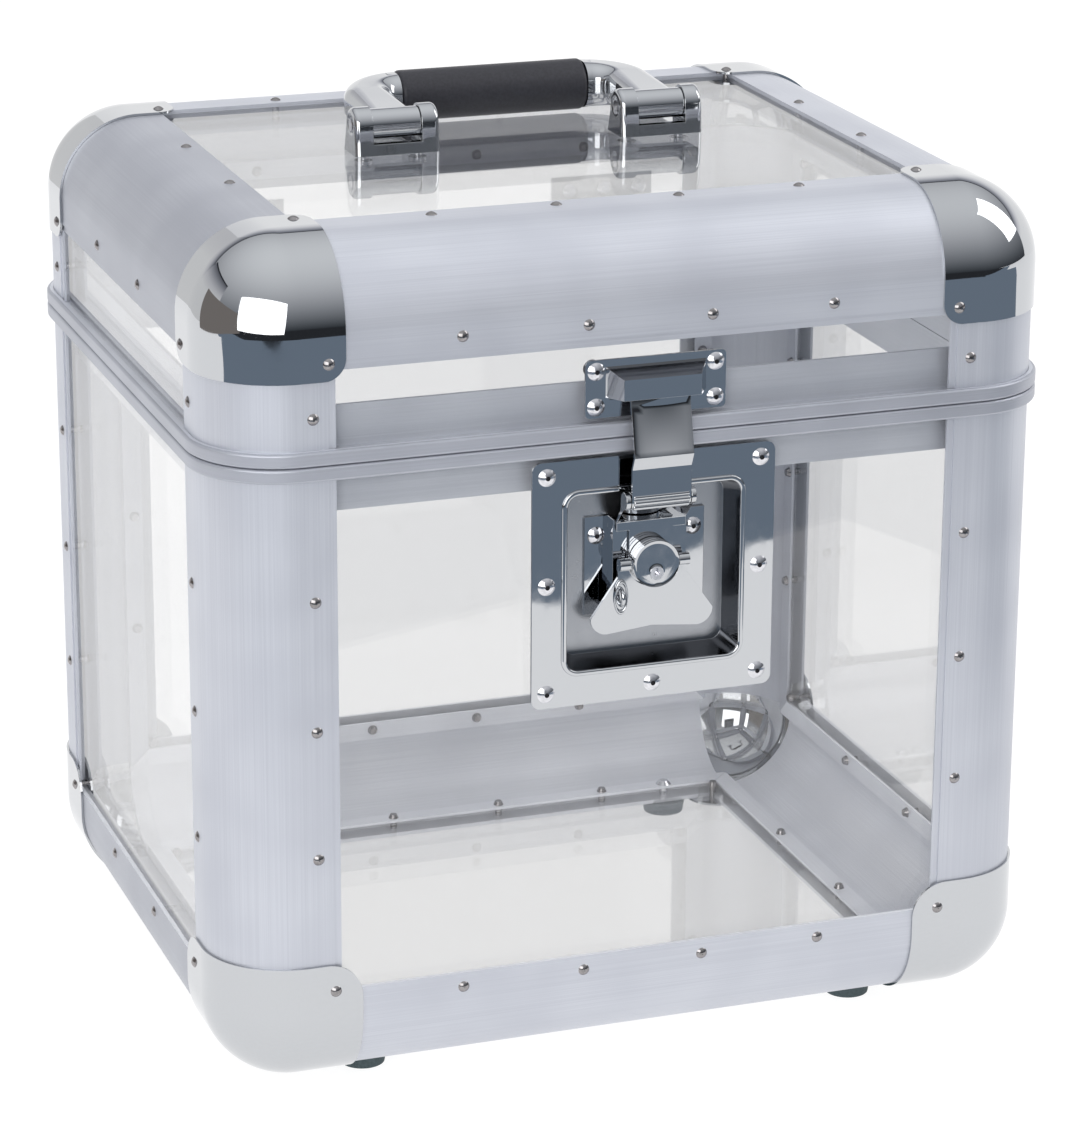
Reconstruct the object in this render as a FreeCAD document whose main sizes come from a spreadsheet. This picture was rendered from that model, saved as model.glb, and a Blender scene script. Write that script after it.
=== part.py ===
"""Clear carrying case with a hinged lid, rounded aluminium edge profiles, ball corners,
a recessed butterfly latch on the front and a folding handle on the lid.

Millimetres, +Z up, the front faces -Y. The origin is on the floor, under the middle of the case.
"""

import FreeCAD, Part
import math
import os

import Sketcher
from FreeCAD import Placement, Rotation, Vector

DRIVING_SIZES = {
    # The case over its flat outer planes; the lid begins above the seam
    "case_width": 360.0,
    "case_depth": 303.0,
    "case_height": 357.0,
    "lid_height": 86.5,
    "seam_gap": 0.3,
    # Rounded edge profile: skin, flange over the panel, its stepped wide form, lip behind it
    "edge_radius": 35.0,
    "profile_wall": 1.8,
    "flange_reach": 46.0,
    "wide_flange_reach": 49.0,
    "flange_step": 0.6,
    "lip_reach": 43.5,
    "lip_wall": 1.2,
    "web_wall": 1.6,
    "profile_end_gap": 1.0,
    "mitre_gap": 0.15,
    # Clear panels
    "panel_thickness": 4.0,
    "panel_play": 0.05,
    # Ball corners
    "base_corner_reach": 57.5,
    "lid_corner_reach": 53.0,
    "corner_wall": 1.0,
    "corner_play": 0.1,
    "base_tab_round": 15.0,
    "lid_tab_round": 9.0,
    # Closing frames of base and lid
    "bead_proud": 3.0,
    "bead_height": 6.0,
    "bead_round": 1.2,
    "frame_play": 0.15,
    "frame_web": 1.6,
    "frame_leg": 21.5,
    "frame_leg_wall": 1.6,
    "tongue_wall": 2.0,
    "tongue_height": 2.2,
    "tongue_play": 0.8,
    # Small rivets along the profiles
    "rivet_radius": 1.6,
    "rivet_head_radius": 2.4,
    "rivet_head_height": 1.2,
    "rivet_tail_height": 1.8,
    "rivet_play": 0.05,
    "rivet_line": 39.7,
    "corner_rivet": 46.0,
    "front_rivet_pitch": 52.6,
    "side_rivet_pitch": 69.0,
    "post_rivet_low": 104.2,
    "post_rivet_high": 56.6,
    "lid_post_rivet": 18.5,
    # Large blind rivets on latch, keeper, hinges and feet
    "blind_radius": 2.0,
    "blind_head_radius": 3.7,
    "blind_head_height": 1.5,
    "blind_eye_radius": 1.0,
    # Rubber feet
    "foot_height": 6.0,
    "foot_radius": 10.4,
    "foot_taper": 1.0,
    "foot_recess_radius": 4.4,
    "foot_recess": 3.6,
    "foot_inset": 69.2,
    # Latch dish and the plate around it
    "latch_shift": 2.5,
    "latch_drop": 60.7,
    "latch_plate": 104.5,
    "latch_plate_wall": 1.2,
    "latch_plate_round": 4.0,
    "latch_rivet": 46.0,
    "dish_opening": 74.5,
    "dish_round": 5.0,
    "dish_depth": 12.0,
    "dish_draft": 2.5,
    "dish_wall": 1.2,
    "dish_rim_width": 2.4,
    "dish_rim_height": 0.8,
    "dish_play": 0.5,
    # Bearing plate on the dish floor
    "bearing_width": 32.0,
    "bearing_drop": 18.0,
    "bearing_rise": 24.0,
    "bearing_wall": 1.2,
    "bearing_level": 5.4,
    "bearing_foot": 10.0,
    "bearing_rivet_rise": 15.9,
    # Turning boss, its wing and key plug
    "boss_rise": 6.0,
    "boss_radius": 9.8,
    "boss_front": 3.0,
    "boss_back": 3.2,
    "spindle_radius": 4.0,
    "spindle_end": 10.0,
    "collar_radius": 6.0,
    "collar_wall": 1.2,
    "running_play": 0.05,
    "trunnion_radius": 1.6,
    "trunnion_reach": 15.0,
    "trunnion_level": 0.6,
    "wing_wall": 1.5,
    "wing_ear_radius": 2.6,
    "wing_scoop": 10.6,
    "wing_neck": 6.0,
    "wing_lobe_out": 19.5,
    "wing_lobe_down": 22.5,
    "wing_lobe_radius": 7.0,
    "wing_rise": 2.0,
    "eye_out": 13.7,
    "eye_down": 14.0,
    "eye_radius": 3.4,
    "eye_wire": 0.9,
    "key_radius": 2.9,
    "key_drop": 3.7,
    "key_proud": 0.6,
    "key_depth": 4.5,
    "keyhole_radius": 1.1,
    "keyway_width": 0.8,
    "keyway_height": 2.1,
    # Slide plate and hook arm
    "slide_level": 3.7,
    "slide_wall": 1.2,
    "slide_width": 30.0,
    "slide_neck": 19.0,
    "slide_drop": 21.0,
    "slide_bend": 23.0,
    "slide_heel": 4.2,
    "slide_travel": 5.0,
    "hook_width": 25.4,
    "hook_wall": 1.5,
    "hook_pin_rise": 34.5,
    "hook_pin_proud": 4.2,
    "hook_pin_radius": 1.8,
    "hook_knuckle_radius": 3.6,
    "hook_ear_gap": 0.3,
    "hook_flat_rise": 13.9,
    "hook_belly": 10.2,
    "hook_belly_rise": 19.2,
    "hook_tip": 5.3,
    "hook_lean_rise": 40.0,
    "hook_tip_rise": 45.0,
    # Keeper on the lid
    "keeper_width": 60.0,
    "keeper_height": 24.0,
    "keeper_lift": 8.0,
    "keeper_wall": 1.2,
    "keeper_rivet_spread": 25.5,
    "keeper_rivet_rise": 7.4,
    "hump_base": 43.0,
    "hump_crown": 33.0,
    "hump_proud": 7.4,
    "hump_lift": 8.4,
    "hump_rise": 21.0,
    "hump_crown_rise": 17.1,
    "hump_wall": 1.0,
    # Hinges on the back
    "hinge_inset": 90.0,
    "hinge_width": 50.0,
    "hinge_wall": 1.4,
    "hinge_leaf": 32.0,
    "hinge_step": 7.6,
    "hinge_gap": 0.5,
    "hinge_knuckle_radius": 3.2,
    "hinge_pin_radius": 1.6,
    "hinge_middle_knuckle": 20.0,
    "hinge_knuckle_gap": 0.3,
    "hinge_rivet_rise": 26.0,
    "hinge_rivet_pitch": 17.0,
    # Handle on the lid
    "handle_shift": 2.5,
    "bracket_spread": 59.6,
    "bracket_width": 37.5,
    "bracket_front": -0.5,
    "bracket_depth": 24.0,
    "bracket_slot": 21.5,
    "bracket_floor": 4.8,
    "bracket_ear_radius": 7.5,
    "bracket_screw_spread": 12.0,
    "screw_radius": 2.0,
    "screw_depth": 4.5,
    "screw_head_radius": 4.0,
    "screw_head_height": 2.2,
    "pivot_back": 8.5,
    "pivot_rise": 10.4,
    "pivot_pin_radius": 2.5,
    "barrel_radius": 6.4,
    "barrel_play": 0.25,
    "arm_length": 49.0,
    "arm_width": 20.0,
    "arm_height": 11.0,
    "arm_round": 4.0,
    "arm_bend": 15.0,
    "grip_length": 85.3,
    "grip_radius": 11.1,
    "grip_round": 2.0,
    "grip_play": 0.1,
    "collar_length": 4.0,
    "grip_collar_radius": 10.2,
    "spigot_radius": 4.0,
    "spigot_length": 12.0,
}

doc = FreeCAD.newDocument("clear_case")
sheet = doc.addObject("Spreadsheet::Sheet", "sizes")
for row, (alias, number) in enumerate(DRIVING_SIZES.items(), start=1):
    sheet.set(f"A{row}", alias)
    sheet.set(f"B{row}", str(number))
    sheet.setAlias(f"B{row}", alias)
doc.recompute()


class Size:
    """A length that carries its number and the sheet expression that gives it."""

    def __init__(self, value, text):
        self.value = float(value)
        self.text = text

    def __add__(self, other):
        other = as_size(other)
        return Size(self.value + other.value, f"({self.text} + {other.text})")

    def __sub__(self, other):
        other = as_size(other)
        return Size(self.value - other.value, f"({self.text} - {other.text})")

    def __mul__(self, factor):
        return Size(self.value * factor, f"({self.text} * ({factor!r}))")

    def __truediv__(self, factor):
        return Size(self.value / factor, f"({self.text} / {factor!r})")

    def __neg__(self):
        return Size(-self.value, f"(0 - {self.text})")

    def __radd__(self, other):
        return as_size(other) + self

    def __rsub__(self, other):
        return as_size(other) - self

    __rmul__ = __mul__


def as_size(length):
    """Give a plain number the form of a Size."""
    return length if isinstance(length, Size) else Size(length, repr(float(length)))


class SheetSizes:
    """Reads each aliased cell of the sheet as a Size."""

    def __getattr__(self, alias):
        return Size(getattr(sheet, alias), f"sizes.{alias}")


S = SheetSizes()

# Planes of the case and layers counted inwards from its outer planes
half_width = S.case_width / 2
half_depth = S.case_depth / 2
bottom = S.foot_height
top = bottom + S.case_height
lid_seam = top - S.lid_height
seam = lid_seam - S.seam_gap
panel_face = S.profile_wall + S.panel_play
panel_back = panel_face + S.panel_thickness
lip_face = panel_back + S.panel_play
lip_back = lip_face + S.lip_wall
panel_edge = S.edge_radius + S.web_wall + S.panel_play
profile_end = S.edge_radius + S.profile_end_gap
leg_face = lip_back + S.frame_play
leg_back = leg_face + S.frame_leg_wall
lid_web = S.tongue_height + S.tongue_play + S.frame_web
base_panel_top = seam - S.frame_web - S.frame_play
lid_panel_bottom = lid_seam + lid_web + S.frame_play
rivet_hole = S.rivet_radius + S.rivet_play
blind_hole = S.blind_radius + S.rivet_play

X_AXIS = Vector(1, 0, 0)
Y_AXIS = Vector(0, 1, 0)
Z_AXIS = Vector(0, 0, 1)
DRILL_START = 6.0
DRILL_END = 16.0
OVERCUT = 1.0
NEAR = 0.01

nodes = []


def bind(target, prop, length):
    """Tie a property to the sheet expression of a length."""
    target.setExpression(prop, as_size(length).text)


def place(target, spot, rotation=Rotation()):
    """Turn an object and tie its base point to the sheet."""
    target.Placement = Placement(Vector(0, 0, 0), rotation)
    for letter, length in zip("xyz", spot):
        bind(target, f"Placement.Base.{letter}", length)


def node(target, label):
    """Mark an object as a finished piece under the name of its file."""
    target.Label = label
    nodes.append(target)
    return target


def box(low, high):
    """Make a block between two opposite corners."""
    block = doc.addObject("Part::Box", "block")
    for prop, start, end in zip(("Length", "Width", "Height"), low, high):
        bind(block, prop, as_size(end) - start)
    place(block, low)
    return block


def cylinder(spot, axis, radius, length):
    """Make a round bar from a point along an axis."""
    bar = doc.addObject("Part::Cylinder", "bar")
    bind(bar, "Radius", radius)
    bind(bar, "Height", length)
    place(bar, spot, Rotation(Z_AXIS, axis))
    return bar


def group(parts):
    """Hold several shapes as one without joining them."""
    holder = doc.addObject("Part::Compound", "group")
    holder.Links = parts
    return holder


def fuse(parts):
    """Join overlapping shapes to one solid."""
    joined = doc.addObject("Part::MultiFuse", "joined")
    joined.Shapes = parts
    joined.Refine = True
    return joined


def cut(base, tools):
    """Take tool shapes out of a base shape."""
    piece = doc.addObject("Part::Cut", "cut")
    piece.Base = base
    piece.Tool = tools[0] if len(tools) == 1 else group(tools)
    return piece


def mirrored(source, normal, height=0.0):
    """Mirror a shape across a plane through the middle of the case or at a height."""
    twin = doc.addObject("Part::Mirroring", "twin")
    twin.Source = source
    twin.Normal = normal
    bind(twin, "Base.z", height)
    return twin


def rounded(base, radius, is_wanted):
    """Round the edges of a shape that a test on their two ends picks out."""
    doc.recompute()
    fillet = doc.addObject("Part::Fillet", "rounded")
    fillet.Base = base
    wanted = []
    for index, edge in enumerate(base.Shape.Edges, start=1):
        ends = [vertex.Point for vertex in edge.Vertexes]
        if is_wanted(edge, ends):
            wanted.append((index, radius.value, radius.value))
    fillet.Edges = wanted
    return fillet


class Arc:
    """A round stretch between two corners of an outline."""

    def __init__(self, centre_u, centre_v, radius):
        self.centre = (as_size(centre_u), as_size(centre_v))
        self.radius = as_size(radius)


def draw(sketch, path):
    """Draw one closed outline of corners and arcs, each corner tied to the sheet."""
    edges = []
    start = None
    arc = None
    for step in path + [path[0]]:
        if isinstance(step, Arc):
            arc = step
            continue
        corner = (as_size(step[0]), as_size(step[1]))
        if start is not None:
            edges.append((start, corner, arc))
        start = corner
        arc = None
    first = sketch.GeometryCount
    ends = []
    for edge_start, edge_end, edge_arc in edges:
        a = Vector(edge_start[0].value, edge_start[1].value, 0)
        b = Vector(edge_end[0].value, edge_end[1].value, 0)
        if edge_arc is None:
            sketch.addGeometry(Part.LineSegment(a, b))
            ends.append((1, 2))
            continue
        middle = Vector(edge_arc.centre[0].value, edge_arc.centre[1].value, 0)
        circle = Part.Circle(middle, Z_AXIS, edge_arc.radius.value)
        from_angle = math.atan2(a.y - middle.y, a.x - middle.x)
        to_angle = math.atan2(b.y - middle.y, b.x - middle.x)
        runs_left = (to_angle - from_angle) % (2 * math.pi) <= math.pi
        angles = (from_angle, to_angle) if runs_left else (to_angle, from_angle)
        sketch.addGeometry(Part.ArcOfCircle(circle, *angles))
        ends.append((1, 2) if runs_left else (2, 1))
    count = len(edges)
    for i, (corner, _, edge_arc) in enumerate(edges):
        here = first + i
        behind = first + (i - 1) % count
        sketch.addConstraint(
            Sketcher.Constraint("Coincident", behind, ends[i - 1][1], here, ends[i][0])
        )
        for kind, axis, length in (("DistanceX", -2, corner[0]), ("DistanceY", -1, corner[1])):
            if length.text == "0.0":
                sketch.addConstraint(Sketcher.Constraint("PointOnObject", here, ends[i][0], axis))
                continue
            tied = sketch.addConstraint(
                Sketcher.Constraint(kind, here, ends[i][0], length.value)
            )
            sketch.setExpression(f"Constraints[{tied}]", length.text)
        if edge_arc is not None:
            tied = sketch.addConstraint(
                Sketcher.Constraint("Radius", here, edge_arc.radius.value)
            )
            sketch.setExpression(f"Constraints[{tied}]", edge_arc.radius.text)


def new_body():
    """Start an empty body."""
    return doc.addObject("PartDesign::Body", "body")


def sketch_on(body, plane, offset, *paths):
    """Draw outlines on one of a body's origin planes, shifted along its normal."""
    sketch = body.newObject("Sketcher::SketchObject", "outline")
    origin = [feature for feature in body.Origin.OriginFeatures if feature.Role == plane][0]
    sketch.AttachmentSupport = [(origin, "")]
    sketch.MapMode = "FlatFace"
    bind(sketch, "AttachmentOffset.Base.z", offset)
    for path in paths:
        draw(sketch, path)
    return sketch


def pad(body, sketch, length, backwards=False):
    """Extrude a sketch of a body by a length."""
    feature = body.newObject("PartDesign::Pad", "pad")
    feature.Profile = sketch
    bind(feature, "Length", length)
    feature.Reversed = backwards
    body.Tip = feature
    return feature


def pocket_through(body, sketch, backwards=False):
    """Cut a sketch of a body right through it."""
    feature = body.newObject("PartDesign::Pocket", "pocket")
    feature.Profile = sketch
    feature.Type = "ThroughAll"
    feature.Reversed = backwards
    body.Tip = feature
    return feature


def loft(body, kind, first, last):
    """Join two sketches of a body by an additive or subtractive loft."""
    feature = body.newObject(kind, "loft")
    feature.Profile = first
    feature.Sections = [last]
    feature.Ruled = True
    body.Tip = feature
    return feature


def round_rectangle(middle_u, middle_v, reach_u, reach_v, radius):
    """Outline of a rectangle with round corners, from its middle and half sizes."""
    left = middle_u - reach_u
    right = middle_u + reach_u
    low = middle_v - reach_v
    high = middle_v + reach_v
    return [
        (left + radius, low),
        (right - radius, low),
        Arc(right - radius, low + radius, radius),
        (right, low + radius),
        (right, high - radius),
        Arc(right - radius, high - radius, radius),
        (right - radius, high),
        (left + radius, high),
        Arc(left + radius, high - radius, radius),
        (left, high - radius),
        (left, low + radius),
        Arc(left + radius, low + radius, radius),
    ]


def rectangle(left, right, low, high):
    """Outline of a plain rectangle."""
    return [(left, low), (right, low), (right, high), (left, high)]


class Face:
    """One outer plane of the case, with places counted across it and into it."""

    def __init__(self, axis, inward, plane):
        self.axis = axis
        self.inward = inward
        self.plane = plane

    def spot(self, across, along, depth):
        """Point at a depth behind the plane."""
        point = [across, along]
        point.insert(self.axis, self.plane + as_size(depth) * self.inward)
        return point

    def direction(self):
        """Direction into the case."""
        vector = [0, 0, 0]
        vector[self.axis] = self.inward
        return Vector(*vector)


FRONT = Face(1, 1, -half_depth)
BACK = Face(1, -1, half_depth)
LEFT = Face(0, 1, -half_width)
RIGHT = Face(0, -1, half_width)
BOTTOM = Face(2, 1, bottom)
TOP = Face(2, -1, top)


def holes(face, spots, radius):
    """Drill tools through the walls of one face."""
    tools = []
    for across, along in spots:
        start = face.spot(across, along, -DRILL_START)
        tools.append(cylinder(start, face.direction(), radius, DRILL_START + DRILL_END))
    return tools


# Places of the small rivets on each face
front_row = [S.front_rivet_pitch * step for step in (-1.5, -0.5, 0.5, 1.5)]
side_row = [S.side_rivet_pitch * step for step in (-0.5, 0.5)]
post_low = bottom + S.post_rivet_low
post_high = seam - S.post_rivet_high
post_row = [post_low, (post_low + post_high) / 2, post_high]


def both_ways(length):
    """A length to either side of the middle."""
    return [-length, length]


def base_spots(half, row):
    """Rivets on one upright face of the base: posts, bottom rail."""
    spots = [(end, height) for end in both_ways(half - S.rivet_line) for height in post_row]
    return spots + [(across, bottom + S.rivet_line) for across in row]


def lid_post_spots(half):
    """Rivets of the short lid posts on one upright face."""
    return [(end, lid_seam + S.lid_post_rivet) for end in both_ways(half - S.rivet_line)]


def lid_rail_spots(row):
    """Rivets of the top rail on one upright face."""
    return [(across, top - S.rivet_line) for across in row]


def corner_spots(half, height):
    """Rivets of the two ball corners on one upright face."""
    return [(end, height) for end in both_ways(half - S.corner_rivet)]


def flat_spots():
    """Rivets of the four rails on the bottom or the top."""
    spots = [(across, along) for across in front_row for along in both_ways(half_depth - S.rivet_line)]
    return spots + [
        (across, along) for across in both_ways(half_width - S.rivet_line) for along in side_row
    ]


def flat_corner_spots():
    """Rivets of the four ball corners on the bottom or the top."""
    return [
        (across, along)
        for across in both_ways(half_width - S.corner_rivet)
        for along in both_ways(half_depth - S.corner_rivet)
    ]


low_corner = bottom + S.corner_rivet
high_corner = top - S.corner_rivet
front_base = base_spots(half_width, front_row)
side_base = base_spots(half_depth, side_row)
foot_spots = [
    (across, along)
    for across in both_ways(half_width - S.foot_inset)
    for along in both_ways(half_depth - S.rivet_line)
]

# Latch, keeper, hinge and bracket fastenings
latch_x = S.latch_shift
latch_z = seam - S.latch_drop
boss_z = latch_z + S.boss_rise
latch_upper_spots = [(latch_x + side, latch_z + S.latch_rivet) for side in both_ways(S.latch_rivet)]
latch_lower_spots = [
    (latch_x + side, height)
    for side in both_ways(S.latch_rivet)
    for height in (latch_z, latch_z - S.latch_rivet)
] + [(latch_x, latch_z - S.latch_rivet)]
keeper_bottom = seam + S.keeper_lift
keeper_z = keeper_bottom + S.keeper_height / 2
keeper_lower_spots = [
    (latch_x + side, keeper_z - S.keeper_rivet_rise) for side in both_ways(S.keeper_rivet_spread)
]
keeper_upper_spots = [
    (latch_x + side, keeper_z + S.keeper_rivet_rise) for side in both_ways(S.keeper_rivet_spread)
]


hinge_middle = half_width - S.hinge_inset


def hinge_spots(height):
    """Rivets of both hinge leaves at one height."""
    return [
        (middle + S.hinge_rivet_pitch * step, height)
        for middle in both_ways(hinge_middle)
        for step in (-1.0, 0.0, 1.0)
    ]


base_hinge_spots = hinge_spots(seam - S.hinge_rivet_rise)
lid_hinge_spots = hinge_spots(seam + S.hinge_rivet_rise)
bracket_middles = [S.handle_shift + side for side in both_ways(S.bracket_spread)]
pivot_y = S.bracket_front + S.pivot_back
pivot_z = top + S.pivot_rise
bracket_screw_spots = [
    (middle + side, S.bracket_front + S.bracket_depth / 2)
    for middle in bracket_middles
    for side in both_ways(S.bracket_screw_spread)
]


def flange_edge(wide):
    """Edge of a flange from its outer to its inner face, as reach and depth; a wide one steps down."""
    if not wide:
        return [(S.flange_reach, 0), (S.flange_reach, S.profile_wall)]
    return [
        (S.flange_reach, 0),
        (S.flange_reach, S.flange_step),
        (S.wide_flange_reach, S.flange_step),
        (S.wide_flange_reach, S.profile_wall),
    ]


def profile(length, mitre_start, mitre_end, wide_first, wide_second):
    """Rounded edge profile along local Z, its outer corner at the origin, its flanges along X and Y."""
    body = new_body()
    radius = S.edge_radius
    wall = S.profile_wall
    groove = radius + S.web_wall
    section = [
        *reversed(flange_edge(wide_first)),
        (radius, 0),
        Arc(radius, radius, radius),
        (0, radius),
        *((depth, reach) for reach, depth in flange_edge(wide_second)),
        (wall, groove),
        (lip_face, groove),
        (lip_face, S.lip_reach),
        (lip_back, S.lip_reach),
        (lip_back, radius),
        (wall, radius),
        Arc(radius, radius, radius - wall),
        (radius, wall),
        (radius, lip_back),
        (S.lip_reach, lip_back),
        (S.lip_reach, lip_face),
        (groove, lip_face),
        (groove, wall),
    ]
    pad(body, sketch_on(body, "XY_Plane", 0, section), length)
    near = profile_end - S.mitre_gap
    far = S.wide_flange_reach + OVERCUT
    wedges = []
    if mitre_start:
        wedges.append([(near, 0), (far, 0), (far, far - near)])
    if mitre_end:
        wedges.append([(near, length), (far, length), (far, length - far + near)])
    pocket_through(body, sketch_on(body, "XZ_Plane", 0, *wedges))
    pocket_through(body, sketch_on(body, "YZ_Plane", 0, *wedges), backwards=True)
    return body


def build_profiles():
    """Posts and rails; three of each four are mirror images of the first."""
    foot_tools = holes(BOTTOM, foot_spots, blind_hole)
    front_tools = holes(FRONT, front_base + corner_spots(half_width, low_corner), rivet_hole)
    side_tools = holes(LEFT, side_base + corner_spots(half_depth, low_corner), rivet_hole)
    flat_tools = holes(BOTTOM, flat_spots() + flat_corner_spots(), rivet_hole)
    lid_front_tools = holes(
        FRONT, lid_post_spots(half_width) + corner_spots(half_width, high_corner), rivet_hole
    )
    lid_side_tools = holes(
        LEFT, lid_post_spots(half_depth) + corner_spots(half_depth, high_corner), rivet_hole
    )

    base_post = profile(base_panel_top - bottom - profile_end, True, False, True, True)
    place(base_post, (-half_width, -half_depth, bottom + profile_end))
    quarter(cut(base_post, front_tools + side_tools), "base_{}_post")

    lid_post = profile(top - profile_end - lid_panel_bottom, False, True, True, True)
    place(lid_post, (-half_width, -half_depth, lid_panel_bottom))
    quarter(cut(lid_post, lid_front_tools + lid_side_tools), "lid_{}_post")

    def front_rail(wide_upright, tools):
        rail = profile(S.case_width - profile_end * 2, True, True, False, wide_upright)
        place(rail, (profile_end - half_width, -half_depth, bottom), Rotation(Vector(1, 1, 1), 120))
        return cut(rail, tools)

    def side_rail(wide_upright):
        rail = profile(S.case_depth - profile_end * 2, True, True, wide_upright, False)
        place(rail, (-half_width, profile_end - half_depth, bottom), Rotation(Vector(1, 1, 1), 240))
        return cut(rail, side_tools + flat_tools)

    middle = bottom + S.case_height / 2
    rail = node(front_rail(False, front_tools + flat_tools + foot_tools), "bottom_front_rail")
    node(mirrored(rail, Y_AXIS), "bottom_back_rail")
    rail = node(mirrored(front_rail(True, front_tools + flat_tools), Z_AXIS, middle), "top_front_rail")
    node(mirrored(rail, Y_AXIS), "top_back_rail")

    rail = node(side_rail(False), "bottom_left_rail")
    node(mirrored(rail, X_AXIS), "bottom_right_rail")
    rail = node(mirrored(side_rail(True), Z_AXIS, middle), "top_left_rail")
    node(mirrored(rail, X_AXIS), "top_right_rail")


def quarter(piece, name):
    """Keep a front left piece and its mirror images in the other three corners."""
    node(piece, name.format("front_left"))
    right = node(mirrored(piece, X_AXIS), name.format("front_right"))
    node(mirrored(piece, Y_AXIS), name.format("back_left"))
    node(mirrored(right, Y_AXIS), name.format("back_right"))
    return piece


def ball_corner(reach, tab_round):
    """Thin three-way ball corner over the ends of the profiles, at the front left of the base."""
    outside = S.corner_play + S.corner_wall

    def round_block(proud, end):
        low = (-half_width - proud, -half_depth - proud, bottom - proud)
        high = (end - half_width, end - half_depth, bottom + end)
        corner = Vector(*(length.value for length in low))
        return rounded(
            box(low, high),
            S.edge_radius + proud,
            lambda edge, ends: any(point.distanceToPoint(corner) < NEAR for point in ends),
        )

    shell = cut(round_block(outside, reach), [round_block(S.corner_play, reach + OVERCUT)])
    doc.recompute()
    tip = Vector((reach - half_width).value, (reach - half_depth).value, (bottom + reach).value)

    def is_tab_tip(edge, ends):
        """Short edges through the wall at the free corner of each tab."""
        at_tips = all(
            sum(abs(point[i] - tip[i]) < NEAR for i in range(3)) == 2 for point in ends
        )
        return at_tips and edge.Length < 2 * S.corner_wall.value

    soft = rounded(shell, tab_round, is_tab_tip)
    tools = holes(FRONT, corner_spots(half_width, low_corner), rivet_hole)
    tools += holes(LEFT, corner_spots(half_depth, low_corner), rivet_hole)
    tools += holes(BOTTOM, flat_corner_spots(), rivet_hole)
    return cut(soft, tools)


def build_corners():
    """Large ball corners on the base, smaller ones on the lid."""
    quarter(ball_corner(S.base_corner_reach, S.base_tab_round), "base_{}_corner")
    lid_corner = ball_corner(S.lid_corner_reach, S.lid_tab_round)
    quarter(mirrored(lid_corner, Z_AXIS, bottom + S.case_height / 2), "lid_{}_corner")


def panel(face, low, high):
    """Clear sheet behind one face, between two corners of that face."""
    near = face.spot(low[0], low[1], panel_face)
    far = face.spot(high[0], high[1], panel_back)
    if face.inward < 0:
        near[face.axis], far[face.axis] = far[face.axis], near[face.axis]
    return box(near, far)


def build_panels():
    """Ten clear sheets, drilled for every rivet that crosses them."""
    wide = half_width - panel_edge
    deep = half_depth - panel_edge
    base_low = bottom + panel_edge
    lid_high = top - panel_edge

    opening = (S.dish_opening / 2) + S.dish_wall + S.dish_play
    window = box(
        FRONT.spot(latch_x - opening, latch_z - opening, -DRILL_START),
        FRONT.spot(latch_x + opening, latch_z + opening, DRILL_END),
    )
    tools = holes(FRONT, front_base + corner_spots(half_width, low_corner), rivet_hole)
    tools += holes(FRONT, latch_upper_spots + latch_lower_spots, blind_hole)
    sheet_front = panel(FRONT, (-wide, base_low), (wide, base_panel_top))
    node(cut(sheet_front, tools + [window]), "base_front_panel")

    tools = holes(BACK, front_base + corner_spots(half_width, low_corner), rivet_hole)
    tools += holes(BACK, base_hinge_spots, blind_hole)
    node(cut(panel(BACK, (-wide, base_low), (wide, base_panel_top)), tools), "base_back_panel")

    tools = holes(LEFT, side_base + corner_spots(half_depth, low_corner), rivet_hole)
    left = cut(panel(LEFT, (-deep, base_low), (deep, base_panel_top)), tools)
    node(left, "base_left_panel")
    node(mirrored(left, X_AXIS), "base_right_panel")

    tools = holes(BOTTOM, flat_spots() + flat_corner_spots(), rivet_hole)
    tools += holes(BOTTOM, foot_spots, blind_hole)
    node(cut(panel(BOTTOM, (-wide, -deep), (wide, deep)), tools), "bottom_panel")

    row = lid_post_spots(half_width) + lid_rail_spots(front_row) + corner_spots(half_width, high_corner)
    tools = holes(FRONT, row, rivet_hole)
    tools += holes(FRONT, keeper_lower_spots + keeper_upper_spots, blind_hole)
    node(cut(panel(FRONT, (-wide, lid_panel_bottom), (wide, lid_high)), tools), "lid_front_panel")

    tools = holes(BACK, row, rivet_hole) + holes(BACK, lid_hinge_spots, blind_hole)
    node(cut(panel(BACK, (-wide, lid_panel_bottom), (wide, lid_high)), tools), "lid_back_panel")

    row = lid_post_spots(half_depth) + lid_rail_spots(side_row) + corner_spots(half_depth, high_corner)
    left = cut(panel(LEFT, (-deep, lid_panel_bottom), (deep, lid_high)), holes(LEFT, row, rivet_hole))
    node(left, "lid_left_panel")
    node(mirrored(left, X_AXIS), "lid_right_panel")

    tools = holes(TOP, flat_spots() + flat_corner_spots(), rivet_hole)
    tools += holes(TOP, bracket_screw_spots, S.screw_radius + S.rivet_play)
    node(cut(panel(TOP, (-wide, -deep), (wide, deep)), tools), "top_panel")


def ring_outline(depth):
    """Outline of the case at a depth behind its outer planes."""
    reach_x = half_width - depth
    reach_y = half_depth - depth
    return round_rectangle(as_size(0), as_size(0), reach_x, reach_y, S.edge_radius - depth)


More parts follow.
